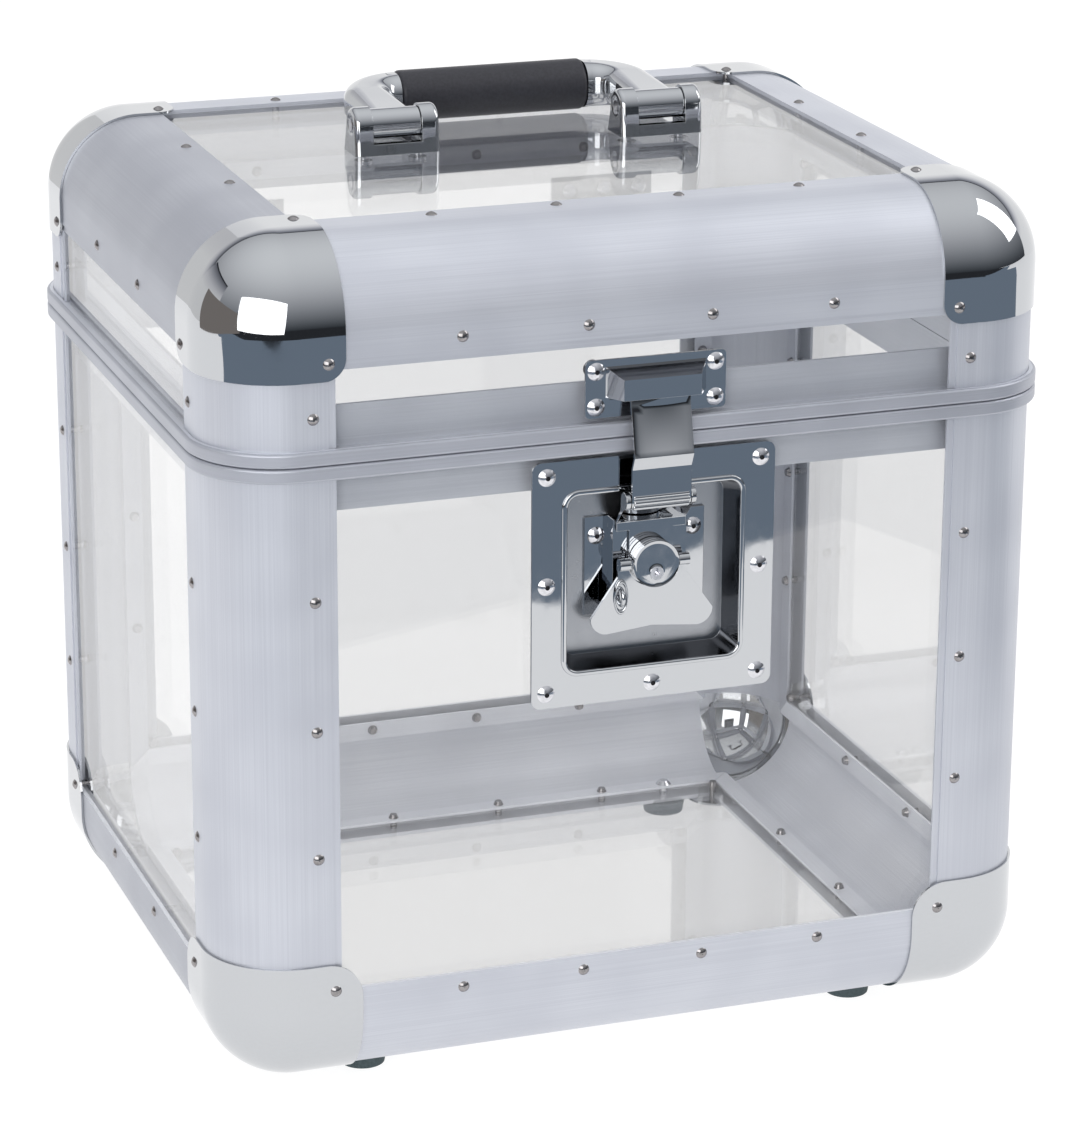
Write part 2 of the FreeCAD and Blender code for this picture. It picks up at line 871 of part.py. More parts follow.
def build_frame(label, mouth, away, web, tools):
    """Closing frame round the mouth of base or lid, grown away from it: web, bead and inner leg.

    The frame of the base carries a tongue, the frame of the lid the groove over it.
    """
    body = new_body()
    proud = -S.bead_proud

    def ring(outer, inner, start, end):
        low, high = (start, end) if start.value < end.value else (end, start)
        sketch = sketch_on(body, "XY_Plane", low, ring_outline(outer), ring_outline(inner))
        pad(body, sketch, high - low)

    web_end = mouth + web * away
    bead_end = mouth + S.bead_height * away
    ring(proud, leg_back, mouth, web_end)
    ring(proud, -S.frame_play, web_end, bead_end)
    ring(leg_face, leg_back, web_end, mouth + S.frame_leg * away)
    tongue_back = panel_face + S.tongue_wall
    if away < 0:
        ring(panel_face, tongue_back, mouth, mouth + S.tongue_height)
    else:
        outer = ring_outline(panel_face - S.tongue_play)
        inner = ring_outline(tongue_back + S.tongue_play)
        feature = body.newObject("PartDesign::Pocket", "groove")
        feature.Profile = sketch_on(body, "XY_Plane", mouth, outer, inner)
        feature.Reversed = True
        bind(feature, "Length", S.tongue_height + S.tongue_play)
        body.Tip = feature
    rims = (mouth.value, bead_end.value)
    outer_x = (half_width + S.bead_proud).value
    outer_y = (half_depth + S.bead_proud).value

    def on_bead(edge, ends):
        """Level edges along the outer surface of the bead."""
        level = any(all(abs(point.z - rim) < NEAR for point in ends) for rim in rims)
        return level and all(
            abs(abs(point.x) - outer_x) < NEAR or abs(abs(point.y) - outer_y) < NEAR
            for point in ends
        )

    node(cut(rounded(body, S.bead_round, on_bead), tools), label)


def build_frames():
    """Closing frames of base and lid, drilled where rivets reach through their inner legs."""
    base_tools = holes(FRONT, latch_upper_spots, blind_hole)
    build_frame("base_closing_frame", seam, -1, S.frame_web, base_tools)
    lid_tools = holes(FRONT, keeper_lower_spots, blind_hole)
    for face, half in ((FRONT, half_width), (BACK, half_width), (LEFT, half_depth), (RIGHT, half_depth)):
        lid_tools += holes(face, lid_post_spots(half), rivet_hole)
    build_frame("lid_closing_frame", lid_seam, 1, lid_web, lid_tools)


def rivet_shape(radius, head_radius, head_height, grip, tail_height, eye_radius):
    """Domed rivet along +Z with its head below zero and its set tail past the grip."""
    crown = (head_radius**2 + head_height**2) / (2 * head_height)
    rise = math.asin(head_radius / crown) / 2
    crest = Vector(crown * math.sin(rise), 0, crown - head_height - crown * math.cos(rise))
    edges = [
        Part.Arc(Vector(0, 0, -head_height), crest, Vector(head_radius, 0, 0)).toShape(),
        Part.LineSegment(Vector(head_radius, 0, 0), Vector(radius, 0, 0)).toShape(),
        Part.LineSegment(Vector(radius, 0, 0), Vector(radius, 0, grip)).toShape(),
        Part.LineSegment(Vector(radius, 0, grip), Vector(head_radius, 0, grip)).toShape(),
        Part.LineSegment(Vector(head_radius, 0, grip), Vector(radius, 0, grip + tail_height)).toShape(),
        Part.LineSegment(Vector(radius, 0, grip + tail_height), Vector(0, 0, grip + tail_height)).toShape(),
        Part.LineSegment(Vector(0, 0, grip + tail_height), Vector(0, 0, -head_height)).toShape(),
    ]
    solid = Part.Face(Part.Wire(edges)).revolve(Vector(0, 0, 0), Z_AXIS, 360)
    if eye_radius:
        eye = Part.makeCylinder(eye_radius, head_height, Vector(0, 0, -head_height))
        solid = solid.cut(eye)
    return solid


class RivetSet:
    """Rivets of one node, each put through its face from a head level to a back level."""

    def __init__(self, label):
        self.label = label
        self.solids = []

    def add(self, face, spots, head_level, back_level, blind=False):
        """Set rivets at places of a face."""
        grip = (as_size(back_level) - head_level).value
        if blind:
            master = rivet_shape(
                S.blind_radius.value,
                S.blind_head_radius.value,
                S.blind_head_height.value,
                grip,
                S.rivet_tail_height.value,
                S.blind_eye_radius.value,
            )
        else:
            master = rivet_shape(
                S.rivet_radius.value,
                S.rivet_head_radius.value,
                S.rivet_head_height.value,
                grip,
                S.rivet_tail_height.value,
                0,
            )
        for across, along in spots:
            spot = Vector(*(as_size(length).value for length in face.spot(across, along, head_level)))
            solid = master.copy()
            solid.Placement = Placement(spot, Rotation(Z_AXIS, face.direction()))
            self.solids.append(solid)

    def finish(self):
        """Keep the rivets as one node of separate solids."""
        piece = doc.addObject("Part::Feature", "rivets")
        piece.Shape = Part.makeCompound(self.solids)
        node(piece, self.label)


def build_rivets():
    """Small rivets along the profiles and large blind rivets on the fittings."""
    on_corner = -(S.corner_play + S.corner_wall)
    plate_front = panel_face - S.latch_plate_wall
    walls = ((FRONT, half_width, front_row, front_base), (BACK, half_width, front_row, front_base))
    walls += ((LEFT, half_depth, side_row, side_base), (RIGHT, half_depth, side_row, side_base))

    base = RivetSet("base_rivets")
    lid = RivetSet("lid_rivets")
    for face, half, row, base_row in walls:
        base.add(face, base_row, 0, lip_back)
        base.add(face, corner_spots(half, low_corner), on_corner, panel_back)
        lid.add(face, lid_rail_spots(row), 0, lip_back)
        lid.add(face, lid_post_spots(half), 0, leg_back)
        lid.add(face, corner_spots(half, high_corner), on_corner, panel_back)
    for rivets, face in ((base, BOTTOM), (lid, TOP)):
        rivets.add(face, flat_spots(), 0, lip_back)
        rivets.add(face, flat_corner_spots(), on_corner, panel_back)
        rivets.finish()

    base = RivetSet("base_blind_rivets")
    base.add(FRONT, latch_upper_spots, plate_front, leg_back, blind=True)
    base.add(FRONT, latch_lower_spots, plate_front, panel_back, blind=True)
    bearing_front = dish_floor - S.bearing_wall
    base.add(FRONT, bearing_rivet_spots(), bearing_front, dish_floor + S.dish_wall, blind=True)
    base.add(BACK, base_hinge_spots, panel_face - S.hinge_wall, panel_back, blind=True)
    base.add(BOTTOM, foot_spots, S.foot_recess - S.foot_height, lip_back, blind=True)
    base.finish()

    lid = RivetSet("lid_blind_rivets")
    lid.add(FRONT, keeper_lower_spots, panel_face - S.keeper_wall, leg_back, blind=True)
    lid.add(FRONT, keeper_upper_spots, panel_face - S.keeper_wall, panel_back, blind=True)
    lid.add(BACK, lid_hinge_spots, panel_face - S.hinge_wall, panel_back, blind=True)
    lid.finish()


def build_feet():
    """Four tapered rubber feet, each with a recess for its rivet."""
    feet = []
    for across, along in foot_spots:
        cone = doc.addObject("Part::Cone", "foot")
        bind(cone, "Radius1", S.foot_radius - S.foot_taper)
        bind(cone, "Radius2", S.foot_radius)
        bind(cone, "Height", S.foot_height)
        place(cone, (across, along, 0))
        recess = cylinder((across, along, 0), Z_AXIS, S.foot_recess_radius, S.foot_recess)
        bore = cylinder((across, along, 0), Z_AXIS, blind_hole, S.foot_height)
        feet.append(cut(cone, [fuse([recess, bore])]))
    node(group(feet), "rubber_feet")


# Layers of the latch, counted inwards from the front plane
dish_floor = panel_face - S.latch_plate_wall + S.dish_depth
pin_z = latch_z + S.hook_pin_rise
pin_depth = -S.hook_pin_proud


def bearing_rivet_spots():
    """Two rivets that hold the bearing plate to the dish floor."""
    reach = S.bearing_width / 2 + S.bearing_foot / 2
    return [(latch_x + side, latch_z + S.bearing_rivet_rise) for side in both_ways(reach)]


def front_sketch(body, depth, *paths):
    """Outlines across the front, X to the right and Z up, at a depth."""
    return sketch_on(body, "XZ_Plane", half_depth - depth, *paths)


def side_sketch(body, across, *paths):
    """Outlines across the side, with corners given as a place along Y and a height."""
    return sketch_on(body, "YZ_Plane", across, *paths)


def square(reach, radius):
    """Round-cornered square about the middle of the latch."""
    return round_rectangle(latch_x, latch_z, reach, reach, radius)


def build_dish():
    """Latch plate with a drafted dish pressed into it and a raised rim."""
    body = new_body()
    opening = S.dish_opening / 2
    floor = opening - S.dish_draft
    plate_front = panel_face - S.latch_plate_wall
    plate = square(S.latch_plate / 2, S.latch_plate_round)
    pad(body, front_sketch(body, panel_face, plate), S.latch_plate_wall)
    wall = S.dish_wall
    loft(
        body,
        "PartDesign::AdditiveLoft",
        front_sketch(body, panel_face, square(opening + wall, S.dish_round + wall)),
        front_sketch(body, dish_floor + wall, square(floor + wall, S.dish_round + wall)),
    )
    loft(
        body,
        "PartDesign::SubtractiveLoft",
        front_sketch(body, plate_front, square(opening, S.dish_round)),
        front_sketch(body, dish_floor, square(floor, S.dish_round)),
    )
    rim = S.dish_rim_width
    ring = front_sketch(
        body,
        plate_front,
        square(opening + rim, S.dish_round + rim),
        square(opening, S.dish_round),
    )
    pad(body, ring, S.dish_rim_height)
    tools = holes(FRONT, latch_upper_spots + latch_lower_spots + bearing_rivet_spots(), blind_hole)
    node(cut(body, tools), "latch_dish")


def build_bearing():
    """Hat-shaped plate on the dish floor that carries the spindle."""
    reach = S.bearing_width / 2
    wall = S.bearing_wall
    low = latch_z - S.bearing_drop
    high = latch_z + S.bearing_rise
    level = S.bearing_level
    parts = [
        box(
            FRONT.spot(latch_x - reach, low, level),
            FRONT.spot(latch_x + reach, high, level + wall),
        )
    ]
    for side in (-1, 1):
        inner = latch_x + (reach - wall) * side
        outer = latch_x + reach * side
        tip = latch_x + (reach + S.bearing_foot) * side
        leg = (inner, outer) if side > 0 else (outer, inner)
        foot = (inner, tip) if side > 0 else (tip, inner)
        parts.append(box(FRONT.spot(leg[0], low, level), FRONT.spot(leg[1], high, dish_floor)))
        near = FRONT.spot(foot[0], low, dish_floor - wall)
        parts.append(box(near, FRONT.spot(foot[1], high, dish_floor)))
    tools = holes(FRONT, [(latch_x, boss_z)], S.spindle_radius + S.running_play)
    tools += holes(FRONT, bearing_rivet_spots(), blind_hole)
    node(cut(fuse(parts), tools), "latch_bearing_plate")


def build_boss():
    """Turning boss with its spindle, retaining collar and the two trunnions of the wing."""
    front = -S.boss_front
    head = cylinder(
        FRONT.spot(latch_x, boss_z, front), Y_AXIS, S.boss_radius, S.boss_front + S.boss_back
    )
    spindle = cylinder(
        FRONT.spot(latch_x, boss_z, 0), Y_AXIS, S.spindle_radius, S.spindle_end
    )
    collar_level = S.bearing_level + S.bearing_wall + S.running_play
    collar = cylinder(
        FRONT.spot(latch_x, boss_z, collar_level), Y_AXIS, S.collar_radius, S.collar_wall
    )
    trunnions = cylinder(
        FRONT.spot(latch_x - S.trunnion_reach, boss_z, S.trunnion_level),
        X_AXIS,
        S.trunnion_radius,
        S.trunnion_reach * 2,
    )
    key_bore = cylinder(
        FRONT.spot(latch_x, boss_z - S.key_drop, front - OVERCUT),
        Y_AXIS,
        S.key_radius + S.running_play,
        S.key_depth + OVERCUT,
    )
    node(cut(fuse([head, spindle, collar, trunnions]), [key_bore]), "latch_boss")

    plug = cylinder(
        FRONT.spot(latch_x, boss_z - S.key_drop, front - S.key_proud),
        Y_AXIS,
        S.key_radius,
        S.key_proud + S.key_depth - S.running_play,
    )
    key_end = front - S.key_proud + S.key_depth / 2
    keyhole = cylinder(
        FRONT.spot(latch_x, boss_z - S.key_drop, front - S.key_proud - OVERCUT),
        Y_AXIS,
        S.keyhole_radius,
        S.key_depth / 2 + OVERCUT,
    )
    keyway = box(
        FRONT.spot(latch_x - S.keyway_width / 2, boss_z - S.key_drop, front - S.key_proud - OVERCUT),
        FRONT.spot(latch_x + S.keyway_width / 2, boss_z - S.key_drop + S.keyway_height, key_end),
    )
    node(cut(plug, [fuse([keyhole, keyway])]), "key_plug")


def build_wing():
    """Bell-shaped wing that folds flat in the dish, with ears round the trunnions."""
    body = new_body()
    back = S.trunnion_level + S.wing_ear_radius
    scoop = S.wing_scoop
    reach = S.trunnion_reach
    lobe = S.wing_lobe_radius
    out = S.wing_lobe_out
    down = S.wing_lobe_down
    shoulder = boss_z - S.wing_neck
    low = boss_z - down
    outline = [
        (latch_x - scoop, boss_z),
        Arc(latch_x, boss_z, scoop),
        (latch_x, boss_z - scoop),
        Arc(latch_x, boss_z, scoop),
        (latch_x + scoop, boss_z),
        (latch_x + reach, boss_z),
        (latch_x + reach, shoulder),
        (latch_x + out + lobe, low),
        Arc(latch_x + out, low, lobe),
        (latch_x + out, low - lobe),
        (latch_x, low - lobe + S.wing_rise),
        (latch_x - out, low - lobe),
        Arc(latch_x - out, low, lobe),
        (latch_x - out - lobe, low),
        (latch_x - reach, shoulder),
        (latch_x - reach, boss_z),
    ]
    pad(body, front_sketch(body, back, outline), S.wing_wall)
    ears = [
        cylinder(
            FRONT.spot(start, boss_z, S.trunnion_level), X_AXIS, S.wing_ear_radius, reach - scoop
        )
        for start in (latch_x - reach, latch_x + scoop)
    ]
    eye = doc.addObject("Part::Torus", "eye")
    bind(eye, "Radius1", S.eye_radius)
    bind(eye, "Radius2", S.eye_wire)
    place(
        eye,
        FRONT.spot(latch_x - S.eye_out, boss_z - S.eye_down, back - S.wing_wall),
        Rotation(Z_AXIS, X_AXIS),
    )
    behind = box(
        FRONT.spot(latch_x - S.trunnion_reach * 2, boss_z - S.eye_down * 2, back),
        FRONT.spot(latch_x, boss_z, back + S.eye_radius * 2),
    )
    bore = cylinder(
        FRONT.spot(latch_x - reach - OVERCUT, boss_z, S.trunnion_level),
        X_AXIS,
        S.trunnion_radius + S.running_play,
        reach * 2 + OVERCUT * 2,
    )
    node(cut(fuse([body, cut(eye, [behind])] + ears), [bore]), "latch_wing")


def front_y(depth):
    """Place along Y of a depth behind the front plane."""
    return as_size(depth) - half_depth


def build_slide():
    """Slide plate behind the boss, bent out over the dish rim to carry the hook's pin."""
    level = S.slide_level
    wall = S.slide_wall
    low = latch_z - S.slide_drop
    bend = latch_z + S.slide_bend
    knuckle = S.hook_knuckle_radius
    body = new_body()
    outline = [
        (front_y(level + wall), low),
        (front_y(level + wall), bend),
        (front_y(pin_depth + knuckle), pin_z - S.slide_heel),
        (front_y(pin_depth + knuckle), pin_z),
        (front_y(pin_depth), pin_z - knuckle),
        (front_y(level), bend),
        (front_y(level), low),
    ]
    reach = S.slide_width / 2
    pad(body, side_sketch(body, latch_x - reach, outline), S.slide_width)
    inner = S.hook_width / 2 + S.hook_ear_gap
    ears = [
        cylinder(FRONT.spot(start, pin_z, pin_depth), X_AXIS, knuckle, reach - inner)
        for start in (latch_x - reach, latch_x + inner)
    ]
    pin = cylinder(
        FRONT.spot(latch_x - reach, pin_z, pin_depth), X_AXIS, S.hook_pin_radius, S.slide_width
    )
    room = cylinder(
        FRONT.spot(latch_x - inner, pin_z, pin_depth),
        X_AXIS,
        knuckle + S.hook_ear_gap,
        inner * 2,
    )
    neck = S.slide_neck / 2
    shoulder = boss_z + S.wing_scoop + S.wing_ear_radius
    sides = [
        box(
            FRONT.spot(start, low - OVERCUT, level - OVERCUT),
            FRONT.spot(end, shoulder, level + wall + OVERCUT),
        )
        for start, end in (
            (latch_x - reach - OVERCUT, latch_x - neck),
            (latch_x + neck, latch_x + reach + OVERCUT),
        )
    ]
    slot_reach = S.spindle_radius + S.hook_ear_gap
    slot = box(
        FRONT.spot(latch_x - slot_reach, boss_z - slot_reach - S.slide_travel, level - OVERCUT),
        FRONT.spot(latch_x + slot_reach, boss_z + slot_reach, level + wall + OVERCUT),
    )
    plate = cut(body, sides + [slot, room])
    node(fuse([plate, pin] + ears), "latch_slide")


def build_hook():
    """Hook arm: knuckle on the pin, belly over the closing beads, tip in the keeper."""
    wall = S.hook_wall
    knuckle = S.hook_knuckle_radius
    foot = pin_depth - knuckle
    belly = -S.hook_belly
    tip = -S.hook_tip
    rises = (as_size(0), S.hook_flat_rise, S.hook_belly_rise, S.hook_lean_rise, S.hook_tip_rise)
    depths = (foot, foot, belly, tip, tip)
    outer = [(front_y(depth), pin_z + rise) for depth, rise in zip(depths, rises)]
    inner = [(front_y(depth + wall), pin_z + rise) for depth, rise in zip(depths, rises)]
    body = new_body()
    start = latch_x - S.hook_width / 2
    pad(body, side_sketch(body, start, outer + inner[::-1]), S.hook_width)
    roll = cylinder(FRONT.spot(start, pin_z, pin_depth), X_AXIS, knuckle, S.hook_width)
    bore = cylinder(
        FRONT.spot(start - OVERCUT, pin_z, pin_depth),
        X_AXIS,
        S.hook_pin_radius + S.running_play,
        S.hook_width + OVERCUT * 2,
    )
    node(cut(fuse([body, roll]), [bore]), "latch_hook")


def build_keeper():
    """Keeper plate on the lid with a hump, open below, that the hook's tip goes under."""
    body = new_body()
    wall = S.keeper_wall
    plate_front = panel_face - wall
    reach = S.keeper_width / 2
    crown = -S.hump_proud
    low = keeper_bottom
    plate = round_rectangle(latch_x, keeper_z, reach, S.keeper_height / 2, S.latch_plate_round / 2)
    pad(body, front_sketch(body, panel_face, plate), wall)

    mouth = low + S.hump_lift

    def hump(half, depth, under, rise):
        outline = rectangle(latch_x - half, latch_x + half, under, low + rise)
        return front_sketch(body, depth, outline)

    loft(
        body,
        "PartDesign::AdditiveLoft",
        hump(S.hump_base / 2, plate_front, mouth, S.hump_rise),
        hump(S.hump_crown / 2, crown, mouth, S.hump_crown_rise),
    )
    thin = S.hump_wall
    loft(
        body,
        "PartDesign::SubtractiveLoft",
        hump(S.hump_base / 2 - thin, panel_face, mouth - OVERCUT, S.hump_rise - thin),
        hump(S.hump_crown / 2 - thin, crown + thin, mouth - OVERCUT, S.hump_crown_rise - thin),
    )
    tools = holes(FRONT, keeper_lower_spots + keeper_upper_spots, blind_hole)
    node(cut(body, tools), "keeper")


hinge_depth = -(S.bead_proud + S.hinge_gap + S.hinge_knuckle_radius)


def back_y(depth):
    """Place along Y of a depth in front of the back plane."""
    return half_depth - depth


def hinge_leaf(upwards):
    """One leaf of the right hinge, stepped out over the closing bead to its knuckles."""
    sign = 1 if upwards else -1
    wall = S.hinge_wall
    strip = -(S.bead_proud + S.hinge_gap)
    flat = panel_face - wall
    step = S.hinge_step
    corners = [
        (panel_face, S.hinge_leaf),
        (panel_face, step),
        (strip, step),
        (strip, as_size(0)),
        (strip - wall, as_size(0)),
        (strip - wall, step + wall),
        (flat, step + wall),
        (flat, S.hinge_leaf),
    ]
    outline = [(back_y(depth), seam + rise * sign) for depth, rise in corners]
    body = new_body()
    left = hinge_middle - S.hinge_width / 2
    right = hinge_middle + S.hinge_width / 2
    pad(body, side_sketch(body, left, outline), S.hinge_width)
    half_middle = S.hinge_middle_knuckle / 2
    gap = S.hinge_knuckle_gap / 2
    inner = [hinge_middle - half_middle, hinge_middle + half_middle]
    if upwards:
        spans = [(inner[0] + gap, inner[1] - gap)]
        others = [(left - OVERCUT, inner[0] + gap), (inner[1] - gap, right + OVERCUT)]
    else:
        spans = [(left, inner[0] - gap), (inner[1] + gap, right)]
        others = [(inner[0] - gap, inner[1] + gap)]
    radius = S.hinge_knuckle_radius
    clear = radius + S.hinge_gap
    room = [
        cylinder(BACK.spot(start, seam, hinge_depth), X_AXIS, clear, end - start)
        for start, end in others
    ]
    knuckles = [
        cylinder(BACK.spot(start, seam, hinge_depth), X_AXIS, radius, end - start)
        for start, end in spans
    ]
    bore = cylinder(
        BACK.spot(left - OVERCUT, seam, hinge_depth),
        X_AXIS,
        S.hinge_pin_radius + S.running_play,
        S.hinge_width + OVERCUT * 2,
    )
    spots = lid_hinge_spots if upwards else base_hinge_spots
    leaf = fuse([cut(body, room)] + knuckles)
    return cut(leaf, [bore] + holes(BACK, spots, blind_hole))


def build_hinges():
    """Two hinges on the back: leaves riveted to base and lid, pins held by the base leaves."""
    pin = cylinder(
        BACK.spot(hinge_middle - S.hinge_width / 2, seam, hinge_depth),
        X_AXIS,
        S.hinge_pin_radius,
        S.hinge_width,
    )
    for piece, label in (
        (hinge_leaf(False), "hinge_base_leaves"),
        (hinge_leaf(True), "hinge_lid_leaves"),
        (pin, "hinge_pins"),
    ):
        node(group([piece, mirrored(piece, X_AXIS)]), label)


def build_brackets():
    """Handle brackets: a slotted block with two ears round the pivot pin."""
    seat = top - panel_face
    front = S.bracket_front
    back = front + S.bracket_depth
    radius = S.bracket_ear_radius
    floor = seat + S.bracket_floor
    slot = S.bracket_slot / 2
    pins = []
    for middle, side in zip(bracket_middles, ("left", "right")):
        body = new_body()
        outline = [
            (front, seat),
            (pivot_y - radius, pivot_z),
            Arc(pivot_y, pivot_z, radius),
            (pivot_y, pivot_z + radius),
            Arc(pivot_y, pivot_z, radius),
            (pivot_y + radius, pivot_z),
            (back, seat),
        ]
        start = middle - S.bracket_width / 2
        pad(body, side_sketch(body, start, outline), S.bracket_width)
        gap = box(
            (middle - slot, front - OVERCUT, floor),
            (middle + slot, back + OVERCUT, pivot_z + radius + OVERCUT),
        )
        bore = cylinder(
            (start - OVERCUT, pivot_y, pivot_z),
            X_AXIS,
            S.pivot_pin_radius + S.running_play,
            S.bracket_width + OVERCUT * 2,
        )
        tools = [gap, bore]
        screw_hole = S.screw_radius + S.rivet_play
        for across, along in bracket_screw_spots:
            mouth = (across, along, seat - OVERCUT)
            tools.append(cylinder(mouth, Z_AXIS, screw_hole, S.screw_depth + OVERCUT))
        node(cut(body, tools), f"handle_{side}_bracket")
        pins.append(cylinder((start, pivot_y, pivot_z), X_AXIS, S.pivot_pin_radius, S.bracket_width))
    node(group(pins), "handle_pins")

    screws = []
    under = top - panel_back
    for across, along in bracket_screw_spots:
        shank = cylinder(
            (across, along, under - S.screw_head_height),
            Z_AXIS,
            S.screw_radius,
            S.screw_head_height + S.panel_thickness + S.screw_depth - S.rivet_play,
        )
        head = cylinder(
            (across, along, under - S.screw_head_height), Z_AXIS, S.screw_head_radius, S.screw_head_height
        )
        screws.append(fuse([shank, head]))
    node(group(screws), "handle_screws")


def build_handle():
    """Handle folded back: two arms swept from their barrels to the ends of a round grip."""
    grip_y = pivot_y + S.arm_length
    grip_half = S.grip_length / 2
    bend = S.arm_bend
    for middle, side in zip(bracket_middles, (1, -1)):
        body = new_body()
        grip_end = S.handle_shift - grip_half * side - S.grip_play * side
        section = round_rectangle(middle, pivot_z, S.arm_width / 2, S.arm_height / 2, S.arm_round)
        profile_sketch = sketch_on(body, "XZ_Plane", -pivot_y, section)
        collar_reach = S.grip_collar_radius
        last = round_rectangle(grip_y, pivot_z, collar_reach, collar_reach, collar_reach - S.grip_round)
        last_sketch = sketch_on(body, "YZ_Plane", grip_end, last)
        spine = body.newObject("Sketcher::SketchObject", "spine")
        origin = [f for f in body.Origin.OriginFeatures if f.Role == "XY_Plane"][0]
        spine.AttachmentSupport = [(origin, "")]
        spine.MapMode = "FlatFace"
        bind(spine, "AttachmentOffset.Base.z", pivot_z)
        draw_spine(spine, middle, middle + bend * side, pivot_y, grip_y, bend, grip_end)
        pipe = body.newObject("PartDesign::AdditivePipe", "pipe")
        pipe.Profile = profile_sketch
        pipe.Spine = (spine, ["Edge1", "Edge2", "Edge3"])
        pipe.Transformation = "Multisection"
        pipe.Sections = [last_sketch]
        body.Tip = pipe
        barrel_half = S.bracket_slot / 2 - S.barrel_play
        barrel_end = (middle - barrel_half, pivot_y, pivot_z)
        barrel = cylinder(barrel_end, X_AXIS, S.barrel_radius, barrel_half * 2)
        toward = Vector(side, 0, 0)
        collar = cylinder(
            (grip_end - S.collar_length * side, grip_y, pivot_z),
            toward,
            S.grip_collar_radius,
            S.collar_length,
        )
        spigot = cylinder((grip_end, grip_y, pivot_z), toward, S.spigot_radius, S.spigot_length)
        bore = cylinder(
            (middle - S.bracket_width, pivot_y, pivot_z),
            X_AXIS,
            S.pivot_pin_radius + S.running_play,
            S.bracket_width * 2,
        )
        name = "handle_left_arm" if side > 0 else "handle_right_arm"
        node(cut(fuse([body, barrel, collar, spigot]), [bore]), name)

    rod = cylinder((S.handle_shift - grip_half, grip_y, pivot_z), X_AXIS, S.grip_radius, S.grip_length)
    soft = rounded(rod, S.grip_round, lambda edge, ends: len(edge.Vertexes) == 1)
    bores = [
        cylinder(
            (S.handle_shift - grip_half * side, grip_y, pivot_z),
            Vector(side, 0, 0),
            S.spigot_radius + S.grip_play,
            S.spigot_length + S.grip_play,
        )
        for side in (1, -1)
    ]
    node(cut(soft, bores), "handle_grip")


def draw_spine(sketch, start_x, bend_x, start_y, grip_y, bend, end_x):
    """Path of an arm: straight back, a quarter bend, then straight along the grip."""
    corner_y = grip_y - bend
    side = 1 if bend_x.value > start_x.value else -1
    centre = Vector(bend_x.value, corner_y.value, 0)
    angles = (math.pi / 2, math.pi) if side > 0 else (0, math.pi / 2)
    first_end, second_end = (2, 1) if side > 0 else (1, 2)
    sketch.addGeometry(
        Part.LineSegment(Vector(start_x.value, start_y.value, 0), Vector(start_x.value, corner_y.value, 0))
    )
    sketch.addGeometry(Part.ArcOfCircle(Part.Circle(centre, Z_AXIS, bend.value), *angles))
    sketch.addGeometry(
        Part.LineSegment(Vector(bend_x.value, grip_y.value, 0), Vector(end_x.value, grip_y.value, 0))
    )
    sketch.addConstraint(Sketcher.Constraint("Coincident", 0, 2, 1, first_end))
    sketch.addConstraint(Sketcher.Constraint("Coincident", 1, second_end, 2, 1))
    for geometry, end, u, v in (
        (0, 1, start_x, start_y),
        (0, 2, start_x, corner_y),
        (2, 1, bend_x, grip_y),
        (2, 2, end_x, grip_y),
    ):
        for kind, length in (("DistanceX", u), ("DistanceY", v)):
            tied = sketch.addConstraint(Sketcher.Constraint(kind, geometry, end, length.value))
            sketch.setExpression(f"Constraints[{tied}]", length.text)
    tied = sketch.addConstraint(Sketcher.Constraint("Radius", 1, bend.value))
    sketch.setExpression(f"Constraints[{tied}]", bend.text)


def write_parts():
    """Check every object and write each finished piece to its own file."""
    doc.recompute()
    for item in doc.Objects:
        if "Invalid" in item.State or "Error" in item.State:
            raise RuntimeError(f"{item.Name} ({item.TypeId}) failed: {item.State}")
    os.makedirs("parts", exist_ok=True)
    for piece in nodes:
        shape = piece.Shape
        if shape.isNull() or not shape.isValid() or not shape.Solids:
            raise RuntimeError(f"{piece.Label} has no valid shape")
        shape.exportStep(f"parts/{piece.Label}.step")
        print(f"{piece.Label}: {len(shape.Solids)} solid(s), {shape.Volume / 1000:.2f} cm3")


build_profiles()
build_corners()
build_panels()
build_frames()
build_rivets()
build_feet()
build_dish()
build_bearing()
build_boss()
build_wing()
build_slide()
build_hook()
build_keeper()
build_hinges()
build_brackets()
build_handle()
write_parts()
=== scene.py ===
"""Looks of the clear carrying case: finishes, pressed fittings, handle and studio.

Metres, +Z up, the front faces -Y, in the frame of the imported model.
"""

from __future__ import annotations

import logging
import math
from collections.abc import Callable, Iterator, Sequence
from contextlib import contextmanager
from dataclasses import dataclass, field
from enum import Enum

import bmesh
import bpy
from mathutils import Matrix, Vector

